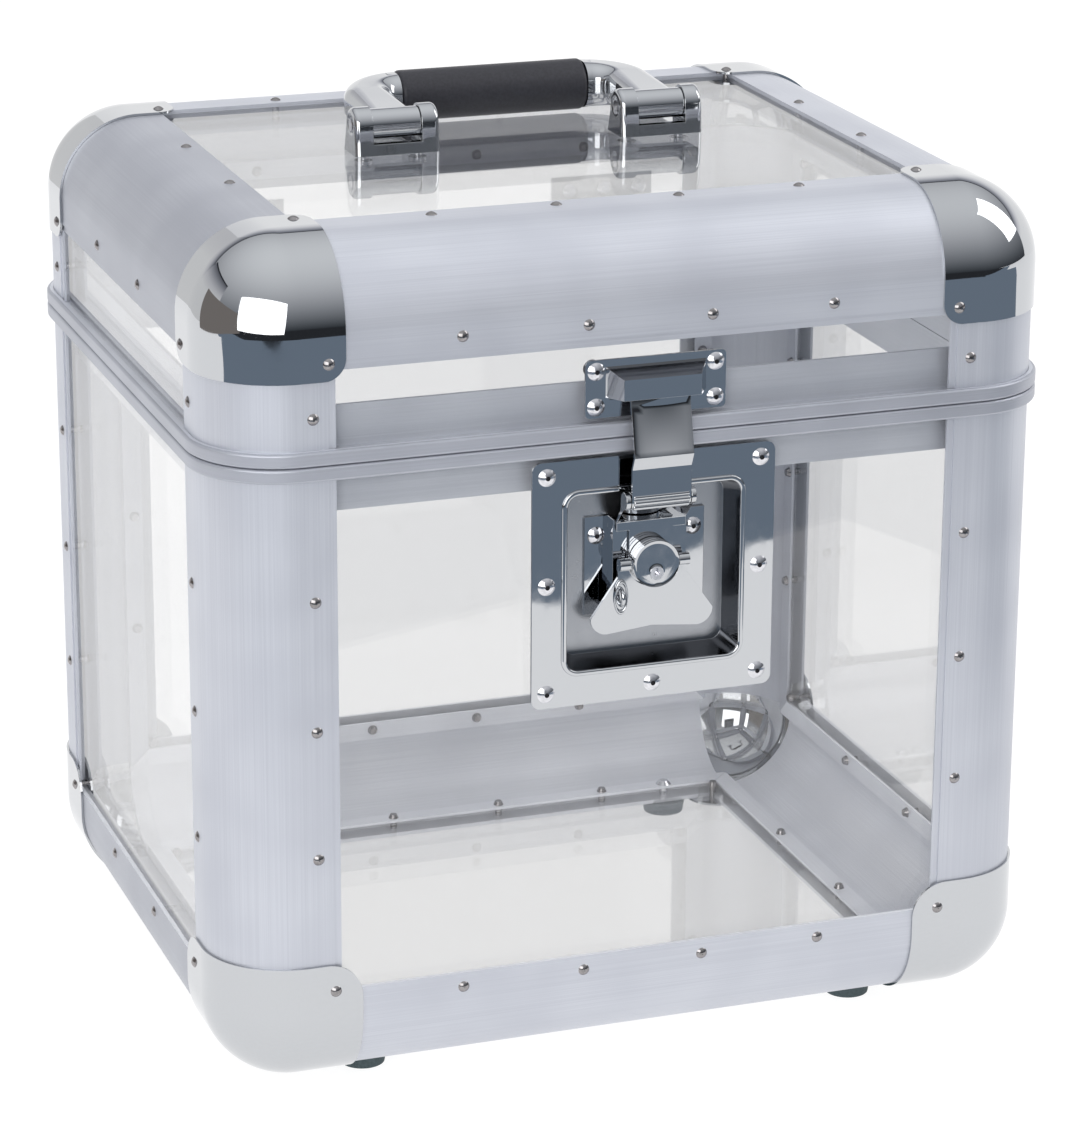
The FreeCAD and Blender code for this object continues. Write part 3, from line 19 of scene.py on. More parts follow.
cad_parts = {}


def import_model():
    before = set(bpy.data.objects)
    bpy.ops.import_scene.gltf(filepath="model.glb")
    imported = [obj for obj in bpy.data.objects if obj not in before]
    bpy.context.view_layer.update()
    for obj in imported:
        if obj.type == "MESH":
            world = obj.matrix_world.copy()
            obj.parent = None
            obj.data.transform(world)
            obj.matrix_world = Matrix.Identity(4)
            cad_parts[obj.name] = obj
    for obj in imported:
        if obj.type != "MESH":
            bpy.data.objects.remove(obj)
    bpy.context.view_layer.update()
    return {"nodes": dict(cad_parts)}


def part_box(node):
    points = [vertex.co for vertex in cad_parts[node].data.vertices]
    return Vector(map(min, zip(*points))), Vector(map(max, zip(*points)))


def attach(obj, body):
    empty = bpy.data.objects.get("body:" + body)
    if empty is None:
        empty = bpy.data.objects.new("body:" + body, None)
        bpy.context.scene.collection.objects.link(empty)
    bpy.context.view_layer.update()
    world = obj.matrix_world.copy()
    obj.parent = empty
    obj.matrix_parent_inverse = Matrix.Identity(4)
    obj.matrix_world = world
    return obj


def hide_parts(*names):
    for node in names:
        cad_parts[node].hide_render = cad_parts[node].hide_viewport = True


logging.basicConfig(level=logging.INFO, format="%(message)s")
log = logging.getLogger("clear_case")

MM = 0.001
MERGE = 0.002 * MM
FLAT = 0.99
WHITE = "#FFFFFF"

Piece = bpy.types.Object
Material = bpy.types.Material
Socket = bpy.types.NodeSocket
Tree = bpy.types.NodeTree
Point = tuple[float, float, float]
Stops = tuple[tuple[float, str], ...]


def linear(hex_colour: str) -> tuple[float, float, float, float]:
    """Turn an sRGB hex colour into the linear colour that shaders take.

    Args:
        hex_colour: Six hex digits after a hash sign.

    Returns:
        Linear red, green, blue and an alpha of one.
    """
    shares = [int(hex_colour[i : i + 2], 16) / 255 for i in (1, 3, 5)]
    curve = [s / 12.92 if s <= 0.04045 else ((s + 0.055) / 1.055) ** 2.4 for s in shares]
    return (*curve, 1.0)


def add_node(
    tree: Tree, kind: str, inputs: dict | None = None, **settings: object
) -> bpy.types.Node:
    """Add a node with its settings, values and links.

    Args:
        tree: Node tree that takes the node.
        kind: Blender's name for the type of node.
        inputs: Socket name or number to a value, or to the output socket that feeds it.
        **settings: Properties of the node itself.

    Returns:
        The new node.
    """
    node = tree.nodes.new(kind)
    for name, value in settings.items():
        setattr(node, name, value)
    for socket, value in (inputs or {}).items():
        if isinstance(value, Socket):
            tree.links.new(value, node.inputs[socket])
        else:
            node.inputs[socket].default_value = value
    return node


def per_mm(size: float) -> float:
    """Scale of a pattern on metre coordinates whose marks are this many millimetres apart."""
    return 1.0 / (size * MM)


def noise(tree: Tree, place: Socket, mark_mm: float, detail: float, **more: float) -> Socket:
    """Add a noise on metre coordinates.

    Args:
        tree: Node tree that takes the noise.
        place: Coordinates it is read at.
        mark_mm: Distance between its marks in millimetres.
        detail: Octaves of finer noise.
        **more: Other inputs of the noise.

    Returns:
        Its value.
    """
    inputs = {"Vector": place, "Scale": per_mm(mark_mm), "Detail": detail, **more}
    return add_node(tree, "ShaderNodeTexNoise", inputs).outputs["Fac"]


def stretched(
    tree: Tree, value: Socket, ends: tuple[float, float], span: tuple[float, float] = (0.0, 1.0)
) -> Socket:
    """Map a value from a span onto the range between two ends.

    Args:
        tree: Node tree that takes the map.
        value: Value to map.
        ends: What the two ends of the span become.
        span: Part of the value that is used.

    Returns:
        The mapped value, kept between the ends.
    """
    inputs = {
        "Value": value,
        "From Min": span[0],
        "From Max": span[1],
        "To Min": ends[0],
        "To Max": ends[1],
    }
    return add_node(tree, "ShaderNodeMapRange", inputs).outputs[0]


def coloured(tree: Tree, share: Socket, stops: Stops) -> Socket:
    """Turn a share into a colour between stops.

    Args:
        tree: Node tree that takes the ramp.
        share: Value from zero to one.
        stops: Positions and their sRGB colours.

    Returns:
        The colour.
    """
    node = add_node(tree, "ShaderNodeValToRGB", {"Fac": share})
    elements = node.color_ramp.elements
    while len(elements) > 1:
        elements.remove(elements[-1])
    for index, (position, shade) in enumerate(stops):
        element = elements.new(position) if index else elements[0]
        element.position = position
        element.color = linear(shade)
    return node.outputs["Color"]


def show(tree: Tree, shader: bpy.types.Node) -> None:
    """Make a shader the surface of its material."""
    add_node(tree, "ShaderNodeOutputMaterial", {"Surface": shader.outputs[0]})


class Lay(Enum):
    """Direction in which the drawing lines of an extrusion run."""

    ALONG_X = "x"
    ALONG_Y = "y"
    UPRIGHT = "z"
    LEVEL = "level"


@dataclass(frozen=True)
class Finish:
    """A surface finish that makes its own material once."""

    name: str

    def material(self) -> Material:
        """Give the material of this finish, made at its first use."""
        made = bpy.data.materials.get(self.name)
        if made is None:
            made = bpy.data.materials.new(self.name)
            made.use_nodes = True
            made.node_tree.nodes.clear()
            self.build(made.node_tree)
        return made

    def build(self, tree: Tree) -> None:
        """Fill the node tree of the material."""
        raise NotImplementedError


@dataclass(frozen=True)
class SatinAluminium(Finish):
    """Anodised aluminium extrusion: a soft pale grey sheen with faint lines along its length."""

    lay: Lay = Lay.UPRIGHT
    pale: str = "#CBCED6"
    deep: str = "#C0C3CC"
    metallic: float = 0.5
    roughness: tuple[float, float] = (0.36, 0.46)
    line_mm: float = 0.6
    run_mm: float = 160.0
    mottle_mm: float = 38.0
    tone_span: tuple[float, float] = (0.12, 0.38)
    relief_mm: float = 0.1

    def build(self, tree: Tree) -> None:
        """Lines about half a millimetre apart, coarser than real ones so that they show."""
        across = per_mm(self.line_mm)
        along = per_mm(self.run_mm)
        stretch = {
            Lay.ALONG_X: (along, across, across),
            Lay.ALONG_Y: (across, along, across),
            Lay.UPRIGHT: (across, across, along),
            Lay.LEVEL: (along, along, across),
        }[self.lay]
        place = add_node(tree, "ShaderNodeTexCoord").outputs["Object"]
        drawn = add_node(tree, "ShaderNodeMapping", {"Vector": place, "Scale": stretch})
        lines = add_node(
            tree,
            "ShaderNodeTexNoise",
            {"Vector": drawn.outputs[0], "Scale": 1.0, "Detail": 2.0, "Roughness": 0.6},
        ).outputs["Fac"]
        mottle = noise(tree, place, self.mottle_mm, 1.0)
        tone = add_node(tree, "ShaderNodeMath", {0: lines, 1: mottle}, operation="MULTIPLY")
        stops = tuple(zip(self.tone_span, (self.deep, self.pale), strict=True))
        bump = add_node(
            tree,
            "ShaderNodeBump",
            {"Strength": 0.05, "Distance": self.relief_mm * MM, "Height": lines},
        )
        metal = add_node(
            tree,
            "ShaderNodeBsdfPrincipled",
            {
                "Base Color": coloured(tree, tone.outputs[0], stops),
                "Metallic": self.metallic,
                "Roughness": stretched(tree, lines, self.roughness),
                "Normal": bump.outputs[0],
            },
        )
        show(tree, metal)


@dataclass(frozen=True)
class PolishedChrome(Finish):
    """Chrome plate on pressed steel: a mirror, a little wavy, with a faint polishing haze."""

    colour: str = "#C6C8CB"
    roughness: tuple[float, float] = (0.02, 0.06)
    haze_mm: float = 6.0
    haze_span: tuple[float, float] = (0.35, 0.75)
    wave_mm: float = 22.0
    wave_height_mm: float = 0.12

    def build(self, tree: Tree) -> None:
        """Haze a few millimetres across, waves of pressed sheet a few centimetres across."""
        place = add_node(tree, "ShaderNodeTexCoord").outputs["Object"]
        haze = noise(tree, place, self.haze_mm, 4.0, Roughness=0.65)
        waves = noise(tree, place, self.wave_mm, 0.0)
        bump = add_node(
            tree,
            "ShaderNodeBump",
            {"Strength": 1.0, "Distance": self.wave_height_mm * MM, "Height": waves},
        )
        metal = add_node(
            tree,
            "ShaderNodeBsdfPrincipled",
            {
                "Base Color": linear(self.colour),
                "Metallic": 1.0,
                "Roughness": stretched(tree, haze, self.roughness, self.haze_span),
                "Normal": bump.outputs[0],
            },
        )
        show(tree, metal)


@dataclass(frozen=True)
class ClearAcrylic(Finish):
    """Cast acrylic sheet: clear with a faint grey tint, and a mirror at a flat angle."""

    tint: str = "#F7F7F7"
    facing_share: float = 0.04
    sharpness: float = 3.8
    scuff_mm: float = 14.0
    scuff_span: tuple[float, float] = (0.45, 0.8)
    roughness: tuple[float, float] = (0.0, 0.03)

    def build(self, tree: Tree) -> None:
        """Both faces reflect by their slant, the rest passes on, and lamps shine through freely."""
        slant = add_node(tree, "ShaderNodeLayerWeight", {"Blend": 0.5}).outputs["Facing"]
        steep = add_node(
            tree, "ShaderNodeMath", {0: slant, 1: self.sharpness}, operation="POWER"
        ).outputs[0]
        share = add_node(
            tree,
            "ShaderNodeMath",
            {0: steep, 1: 1.0 - self.facing_share, 2: self.facing_share},
            operation="MULTIPLY_ADD",
        ).outputs[0]
        place = add_node(tree, "ShaderNodeTexCoord").outputs["Object"]
        scuff = noise(tree, place, self.scuff_mm, 3.0)
        rough = stretched(tree, scuff, self.roughness, self.scuff_span)
        clear = add_node(tree, "ShaderNodeBsdfTransparent", {"Color": linear(self.tint)})
        gloss = add_node(
            tree, "ShaderNodeBsdfGlossy", {"Color": linear(WHITE), "Roughness": rough}
        )
        sheet = add_node(
            tree, "ShaderNodeMixShader", {0: share, 1: clear.outputs[0], 2: gloss.outputs[0]}
        )
        shadow = add_node(tree, "ShaderNodeLightPath").outputs["Is Shadow Ray"]
        open_air = add_node(tree, "ShaderNodeBsdfTransparent", {"Color": linear(WHITE)})
        lit = add_node(
            tree, "ShaderNodeMixShader", {0: shadow, 1: sheet.outputs[0], 2: open_air.outputs[0]}
        )
        show(tree, lit)


@dataclass(frozen=True)
class GrainedSurface(Finish):
    """A moulded, turned or plated surface with a fine grain in tone, gloss and height."""

    dark: str = "#2A2A30"
    light: str = "#34343B"
    metallic: float = 0.0
    roughness: tuple[float, float] = (0.4, 0.5)
    grain_mm: float = 1.2
    tone_span: tuple[float, float] = (0.35, 0.65)
    relief_mm: float = 0.05
    specular: float = 0.5
    glow: float = 0.0

    def build(self, tree: Tree) -> None:
        """One grain drives colour, roughness and relief."""
        place = add_node(tree, "ShaderNodeTexCoord").outputs["Object"]
        grain = noise(tree, place, self.grain_mm, 3.0)
        stops = tuple(zip(self.tone_span, (self.dark, self.light), strict=True))
        bump = add_node(
            tree,
            "ShaderNodeBump",
            {"Strength": 0.4, "Distance": self.relief_mm * MM, "Height": grain},
        )
        surface = add_node(
            tree,
            "ShaderNodeBsdfPrincipled",
            {
                "Base Color": coloured(tree, grain, stops),
                "Metallic": self.metallic,
                "Roughness": stretched(tree, grain, self.roughness),
                "Specular IOR Level": self.specular,
                "Emission Color": linear(WHITE),
                "Emission Strength": self.glow,
                "Normal": bump.outputs[0],
            },
        )
        show(tree, surface)


CHROME = PolishedChrome("polished_chrome_plate")
PRESSED_CHROME = PolishedChrome("pressed_chrome_sheet", wave_mm=30.0, wave_height_mm=0.2)
# Rougher chrome for the dish floor; its darker colour is painted shade of the recess.
RECESS_CHROME = PolishedChrome(
    "dull_chrome_painted_shade_recess",
    colour="#B4B6BA",
    roughness=(0.24, 0.28),
    haze_mm=4.0,
    wave_mm=20.0,
    wave_height_mm=0.1,
)
SHADED_CHROME = PolishedChrome("shaded_chrome_walls", colour="#6E7074", roughness=(0.08, 0.14))
CLEAR = ClearAcrylic("clear_cast_acrylic")
RIVET_STEEL = GrainedSurface(
    "bright_plated_rivet",
    dark="#D2D2D6",
    light="#E4E4E8",
    metallic=1.0,
    roughness=(0.12, 0.22),
    grain_mm=2.0,
    relief_mm=0.02,
)
SMALL_RIVET_STEEL = GrainedSurface(
    "dull_plated_rivet",
    dark="#8F8C8C",
    light="#A4A1A2",
    metallic=1.0,
    roughness=(0.14, 0.24),
    grain_mm=2.0,
    relief_mm=0.02,
)
# Satin zinc plate whose pale colour is painted light, lifting the shaded leaves.
HINGE_ZINC = GrainedSurface(
    "satin_zinc_plate_painted_light",
    dark="#D8D9DC",
    light="#E6E7EA",
    metallic=0.4,
    roughness=(0.35, 0.45),
    grain_mm=3.0,
    relief_mm=0.02,
)
MANDREL_STEEL = GrainedSurface(
    "dark_mandrel_steel",
    dark="#1C1C1F",
    light="#2E2E32",
    metallic=0.6,
    roughness=(0.5, 0.6),
    grain_mm=0.8,
)
GRIP_PLASTIC = GrainedSurface(
    "grained_black_grip", dark="#232329", light="#2C2C33", relief_mm=0.12
)
FOOT_RUBBER = GrainedSurface(
    "moulded_grey_rubber", dark="#3E4B4E", light="#4C595D", roughness=(0.65, 0.8), specular=0.3
)


class Bench:
    """Modelling moves that the pieces share, each as it is done by hand."""

    flat_turn = math.radians(0.5)
    fold_turn = math.radians(8.0)

    @staticmethod
    def deselect() -> None:
        """Leave nothing selected and nothing active."""
        if bpy.context.object and bpy.context.object.mode != "OBJECT":
            bpy.ops.object.mode_set(mode="OBJECT")
        bpy.ops.object.select_all(action="DESELECT")
        bpy.context.view_layer.objects.active = None

    @classmethod
    def pick(cls, piece: Piece) -> None:
        """Select one piece alone and make it active."""
        cls.deselect()
        piece.select_set(True)
        bpy.context.view_layer.objects.active = piece

    @classmethod
    @contextmanager
    def editing(cls, piece: Piece) -> Iterator[None]:
        """Stay in edit mode on one piece, with nothing selected at the start."""
        cls.pick(piece)
        bpy.ops.object.mode_set(mode="EDIT")
        bpy.ops.mesh.select_all(action="DESELECT")
        try:
            yield
        finally:
            bpy.ops.object.mode_set(mode="OBJECT")

    @classmethod
    def finish_place(cls, piece: Piece, name: str) -> Piece:
        """Name a piece and move its place into its mesh.

        Args:
            piece: The piece to settle.
            name: Its name in the scene.

        Returns:
            The same piece.
        """
        piece.name = name
        piece.data.name = name
        cls.pick(piece)
        bpy.ops.object.transform_apply(location=True, rotation=True, scale=True)
        return piece

    @classmethod
    def apply(cls, piece: Piece, kind: str, **settings: object) -> None:
        """Add a modifier with its settings and apply it.

        Args:
            piece: Piece that takes the modifier.
            kind: Blender's type of modifier.
            **settings: Properties of the modifier.
        """
        cls.pick(piece)
        modifier = piece.modifiers.new(kind.title(), kind)
        for name, value in settings.items():
            setattr(modifier, name, value)
        bpy.ops.object.modifier_apply(modifier=modifier.name)

    @classmethod
    def smooth(cls, piece: Piece, angle: float = 35.0) -> None:
        """Shade smooth across edges flatter than an angle in degrees."""
        cls.pick(piece)
        bpy.ops.object.shade_smooth_by_angle(angle=math.radians(angle))

    @classmethod
    def copied(cls, source: Piece, name: str) -> Piece:
        """Copy a solid with its triangles joined into whole faces.

        Args:
            source: The CAD node to copy; it stays as it is.
            name: Name of the copy.

        Returns:
            The copy, ready for modelling.
        """
        piece = bpy.data.objects.new(name, source.data.copy())
        bpy.context.scene.collection.objects.link(piece)
        piece.data.name = name
        with cls.editing(piece):
            bpy.ops.mesh.customdata_custom_splitnormals_clear()
            bpy.ops.mesh.select_all(action="SELECT")
            bpy.ops.mesh.remove_doubles(threshold=MERGE)
            bpy.ops.mesh.dissolve_limited(angle_limit=cls.flat_turn)
        return piece

    @classmethod
    def round_chosen(
        cls,
        piece: Piece,
        chosen: Callable[[Vector, Vector], bool],
        width: float,
        segments: int = 5,
    ) -> None:
        """Bevel the edges that a test picks by their two ends.

        Args:
            piece: The piece to round.
            chosen: Says of the two ends of an edge whether it is rounded.
            width: Width of the rounding in metres.
            segments: Steps across the rounding.
        """
        with cls.editing(piece):
            bpy.ops.mesh.select_mode(type="EDGE")
            mesh = bmesh.from_edit_mesh(piece.data)
            for edge in mesh.edges:
                start, end = (vertex.co for vertex in edge.verts)
                folded = edge.calc_face_angle(0.0) > cls.fold_turn
                edge.select_set(folded and chosen(start, end))
            bmesh.update_edit_mesh(piece.data)
            bpy.ops.mesh.bevel(offset=width, segments=segments, affect="EDGES", clamp_overlap=True)

    @classmethod
    def push_chosen(cls, piece: Piece, chosen: Callable[[Vector], bool], way: float) -> None:
        """Move the points that a test picks along Y.

        Args:
            piece: The piece to work on.
            chosen: Says of a point whether it moves.
            way: How far it moves to the back, in metres.
        """
        with cls.editing(piece):
            mesh = bmesh.from_edit_mesh(piece.data)
            for vertex in mesh.verts:
                vertex.select_set(chosen(vertex.co))
            bmesh.update_edit_mesh(piece.data)
            bpy.ops.transform.translate(value=(0.0, way, 0.0))

    @classmethod
    def sink_faces(
        cls, piece: Piece, chosen: Callable[[Vector, Vector], bool], border: float, depth: float
    ) -> None:
        """Inset the faces that a test picks and push them in.

        Args:
            piece: The piece to work on.
            chosen: Says of a face's middle and normal whether it is sunk.
            border: Width of the border that stays, in metres.
            depth: How far the faces go in, in metres.
        """
        with cls.editing(piece):
            bpy.ops.mesh.select_mode(type="FACE")
            mesh = bmesh.from_edit_mesh(piece.data)
            for face in mesh.faces:
                face.select_set(chosen(face.calc_center_median(), face.normal))
            bmesh.update_edit_mesh(piece.data)
            bpy.ops.mesh.inset(thickness=border, depth=-depth)

    @classmethod
    def soften(
        cls, piece: Piece, width: float, segments: int = 3, limit: float = 40.0, shade: float = 35.0
    ) -> Piece:
        """Round every edge sharper than a limit, as pressing and polishing leave them.

        Args:
            piece: The piece to round.
            width: Width of the rounding in metres.
            segments: Steps across the rounding.
            limit: Least angle of a rounded edge in degrees.
            shade: Widest angle in degrees that shading smooths over.

        Returns:
            The same piece.
        """
        cls.apply(
            piece,
            "BEVEL",
            width=width,
            segments=segments,
            limit_method="ANGLE",
            angle_limit=math.radians(limit),
            use_clamp_overlap=True,
        )
        cls.smooth(piece, shade)
        cls.apply(piece, "WEIGHTED_NORMAL", keep_sharp=True)
        return piece

    @classmethod
    def cut(cls, piece: Piece, tool: Piece) -> None:
        """Take the shape of a tool out of a piece and drop the tool."""
        cls.apply(piece, "BOOLEAN", operation="DIFFERENCE", object=tool, solver="EXACT")
        bpy.data.objects.remove(tool, do_unlink=True)

    @classmethod
    def joined(cls, pieces: Sequence[Piece], name: str) -> Piece:
        """Join pieces into the first of them and name it."""
        cls.pick(pieces[0])
        for other in pieces[1:]:
            other.select_set(True)
        bpy.ops.object.join()
        return cls.finish_place(bpy.context.object, name)


@dataclass
class Assembly:
    """A group of pieces that reads the frame and dresses its own nodes."""

    nodes: dict[str, Piece]

    def dress(self, names: Sequence[str], finish: Finish) -> None:
        """Give CAD nodes a finish.

        Args:
            names: Nodes to dress.
            finish: The finish they take.
        """
        for name in names:
            self.coat(self.nodes[name], finish)
            log.info("dressed %s with %s", name, finish.name)

    @staticmethod
    def coat(piece: Piece, finish: Finish) -> None:
        """Make a finish the only material of a piece."""
        piece.data.materials.clear()
        piece.data.materials.append(finish.material())

    def settle(self, piece: Piece, body: str, slot: str, finish: Finish, *replaced: str) -> None:
        """Finish a new piece: its material, body and the nodes it stands for.

        Args:
            piece: The new piece.
            body: Body of the frame that it rides on.
            slot: Not used.
            finish: Its finish.
            *replaced: Nodes that it stands for.
        """
        self.coat(piece, finish)
        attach(piece, body)
        if replaced:
            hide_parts(*replaced)
        log.info("built %s on %s", piece.name, body)


PARTS = ("base", "lid")
CORNERS = ("front_left", "front_right", "back_left", "back_right")
SIDES = ("front", "back", "left", "right")


@dataclass
class EdgeFrame(Assembly):
    """Posts, rails, closing frames and ball corners."""

    leg_depth: float = 7.5 * MM
    frame_round: float = 38.0 * MM
    inside_height: float = 180.0 * MM
    edge_round: float = 0.4 * MM

    def build(self) -> None:
        """Draw every profile along its own lines and plate every corner with chrome."""
        upright = SatinAluminium("satin_aluminium_upright", lay=Lay.UPRIGHT)
        crosswise = SatinAluminium("satin_aluminium_crosswise", lay=Lay.ALONG_X)
        lengthwise = {
            # The left rails carry painted shade: the same aluminium as the right rails, made darker to
            # stand for the shade on the left side of the case.
            "left": SatinAluminium("painted_shade_left_aluminium", Lay.ALONG_Y, "#B4B7BF", "#A9ACB5"),
            "right": SatinAluminium("satin_aluminium_right", Lay.ALONG_Y),
        }
        for part in PARTS:
            for corner in CORNERS:
                self.build_drawn(f"{part}_{corner}_post", part, upright)
        for side in SIDES:
            finish = lengthwise.get(side, crosswise)
            self.build_drawn(f"top_{side}_rail", "lid", finish)
            self.build_bottom_rail(side, finish)
        for part in PARTS:
            self.build_closing_frame(part)
        self.dress([f"{part}_{corner}_corner" for part in PARTS for corner in CORNERS], CHROME)

    def build_closing_frame(self, part: str) -> None:
        """Round a closing frame: a bead outside with painted shade, legs behind the sheets with
        painted light.
        """
        node = f"{part}_closing_frame"
        # The bead's darker colour is painted shade and the legs' paler colour is painted light; the
        # metal is the same aluminium.
        bead = SatinAluminium("painted_shade_bead_aluminium", Lay.LEVEL, "#B4B7C0", "#A9ACB5")
        leg = SatinAluminium("painted_light_leg_aluminium", Lay.LEVEL, "#DADDE4", "#CDD0D8", 0.4)
        _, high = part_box(node)

        def behind_sheets(face: bpy.types.MeshPolygon) -> bool:
            """Say whether a face lies deeper than the bead, also round the corners."""
            past = [abs(face.center[axis]) - high[axis] + self.frame_round for axis in (0, 1)]
            reach = math.hypot(*past) if min(past) > 0 else max(past)
            return self.frame_round - reach > self.leg_depth

        self.build_lined(node, part, bead, leg, behind_sheets)

    def build_bottom_rail(self, side: str, outer: Finish) -> None:
        """Line a bottom rail with a paler finish on its inner faces, painted light that lifts the
        shade inside the case.
        """
        lay = Lay.ALONG_X if side in ("front", "back") else Lay.ALONG_Y
        # Painted light: the inner faces are paler to stand for light that the shade inside the case
        # takes away.
        inner = SatinAluminium(f"painted_light_inside_aluminium_{lay.value}", lay, "#F0F2F7", "#E4E6EC", 0.3)
        middle = Vector((0.0, 0.0, self.inside_height))

        def turned_in(face: bpy.types.MeshPolygon) -> bool:
            """Say whether a face looks into the case."""
            return face.normal.dot(middle - face.center) > 0.0

        self.build_lined(f"bottom_{side}_rail", "base", outer, inner, turned_in)

    def build_drawn(self, node: str, body: str, finish: Finish) -> Piece:
        """Copy a profile with soft edges, which catch the light as thin lines.

        Args:
            node: The profile.
            body: Body that it rides on.
            finish: Its finish.

        Returns:
            The new piece.
        """
        piece = Bench.copied(self.nodes[node], f"{node}_drawn")
        Bench.soften(piece, self.edge_round, segments=2, limit=25.0)
        self.settle(piece, body, "edge_aluminium", finish, node)
        return piece

    def build_lined(
        self,
        node: str,
        body: str,
        outer: Finish,
        inner: Finish,
        inside: Callable[[bpy.types.MeshPolygon], bool],
    ) -> None:
        """Copy a profile with soft edges and a finish of its own on its inner faces.

        Args:
            node: The profile.
            body: Body that it rides on.
            outer: Finish of the outer faces.
            inner: Finish of the inner faces.
            inside: Says which faces are inner ones.
        """
        piece = self.build_drawn(node, body, outer)
        piece.data.materials.append(inner.material())
        for face in piece.data.polygons:
            face.material_index = int(inside(face))


@dataclass
class ClearSheets(Assembly):
    """The ten clear sheets of base and lid."""

    def build(self) -> None:
        """Dress the sheets in clear acrylic."""
        names = [f"{part}_{side}_panel" for part in PARTS for side in SIDES]
        self.dress([*names, "bottom_panel", "top_panel"], CLEAR)


@dataclass
class Fastenings(Assembly):
    """Rivets, pins and screws, and the mandrel ends in the open rivet heads."""

    eye_radius: float = 0.95 * MM
    eye_sink: float = 0.55 * MM
    eye_length: float = 0.9 * MM
    eye_round: float = 0.25 * MM

    def build(self) -> None:
        """Dress the fastenings and close each open rivet head with its mandrel end."""
        self.dress(["base_rivets", "lid_rivets"], SMALL_RIVET_STEEL)
        self.dress(["base_blind_rivets", "lid_blind_rivets"], RIVET_STEEL)
        self.dress(["hinge_pins", "handle_pins", "handle_screws"], RIVET_STEEL)
        for body in PARTS:
            self.build_mandrels(body)

    def build_mandrels(self, body: str) -> None:
        """Put a turned stub into every open rivet head of one body."""
        stubs = []
        for tip, outward in self.rivet_ends(self.nodes[f"{body}_blind_rivets"]):
            Bench.deselect()
            middle = tip - outward * (self.eye_sink + self.eye_length / 2)
            turn = Vector((0, 0, 1)).rotation_difference(outward).to_euler()
            bpy.ops.mesh.primitive_cylinder_add(
                vertices=16,
                radius=self.eye_radius,
                depth=self.eye_length,
                location=middle,
                rotation=turn,
            )
            stubs.append(bpy.context.object)
        piece = Bench.joined(stubs, f"{body}_rivet_mandrels")
        Bench.apply(piece, "BEVEL", width=self.eye_round, segments=2, limit_method="ANGLE")
        Bench.smooth(piece)
        self.settle(piece, body, "rivet_steel", MANDREL_STEEL)

    @staticmethod
    def rivet_ends(node: Piece) -> Iterator[tuple[Vector, Vector]]:
        """Find the crown of each rivet in a node.

        Args:
            node: Node of separate rivets.

        Yields:
            The tip of a head and its outward direction.
        """
        mesh = bmesh.new()
        mesh.from_mesh(node.data)
        bmesh.ops.remove_doubles(mesh, verts=mesh.verts, dist=MERGE)
        middle = Vector((0.0, 0.0, sum(v.co.z for v in mesh.verts) / len(mesh.verts)))
        seen = set()
        for start in mesh.verts:
            if start in seen:
                continue
            island = {start}
            edge = [start]
            while edge:
                vertex = edge.pop()
                for other in (e.other_vert(vertex) for e in vertex.link_edges):
                    if other not in island:
                        island.add(other)
                        edge.append(other)
            seen |= island
            low = Vector(min(v.co[i] for v in island) for i in range(3))
            high = Vector(max(v.co[i] for v in island) for i in range(3))
            size = high - low
            gaps = [abs(size[(i + 1) % 3] - size[(i + 2) % 3]) for i in range(3)]
            axis = gaps.index(min(gaps))
            centre = (low + high) / 2
            outward = Vector((0.0, 0.0, 0.0))
            outward[axis] = 1.0 if centre[axis] > middle[axis] else -1.0
            yield centre + outward * size[axis] / 2, outward
        mesh.free()


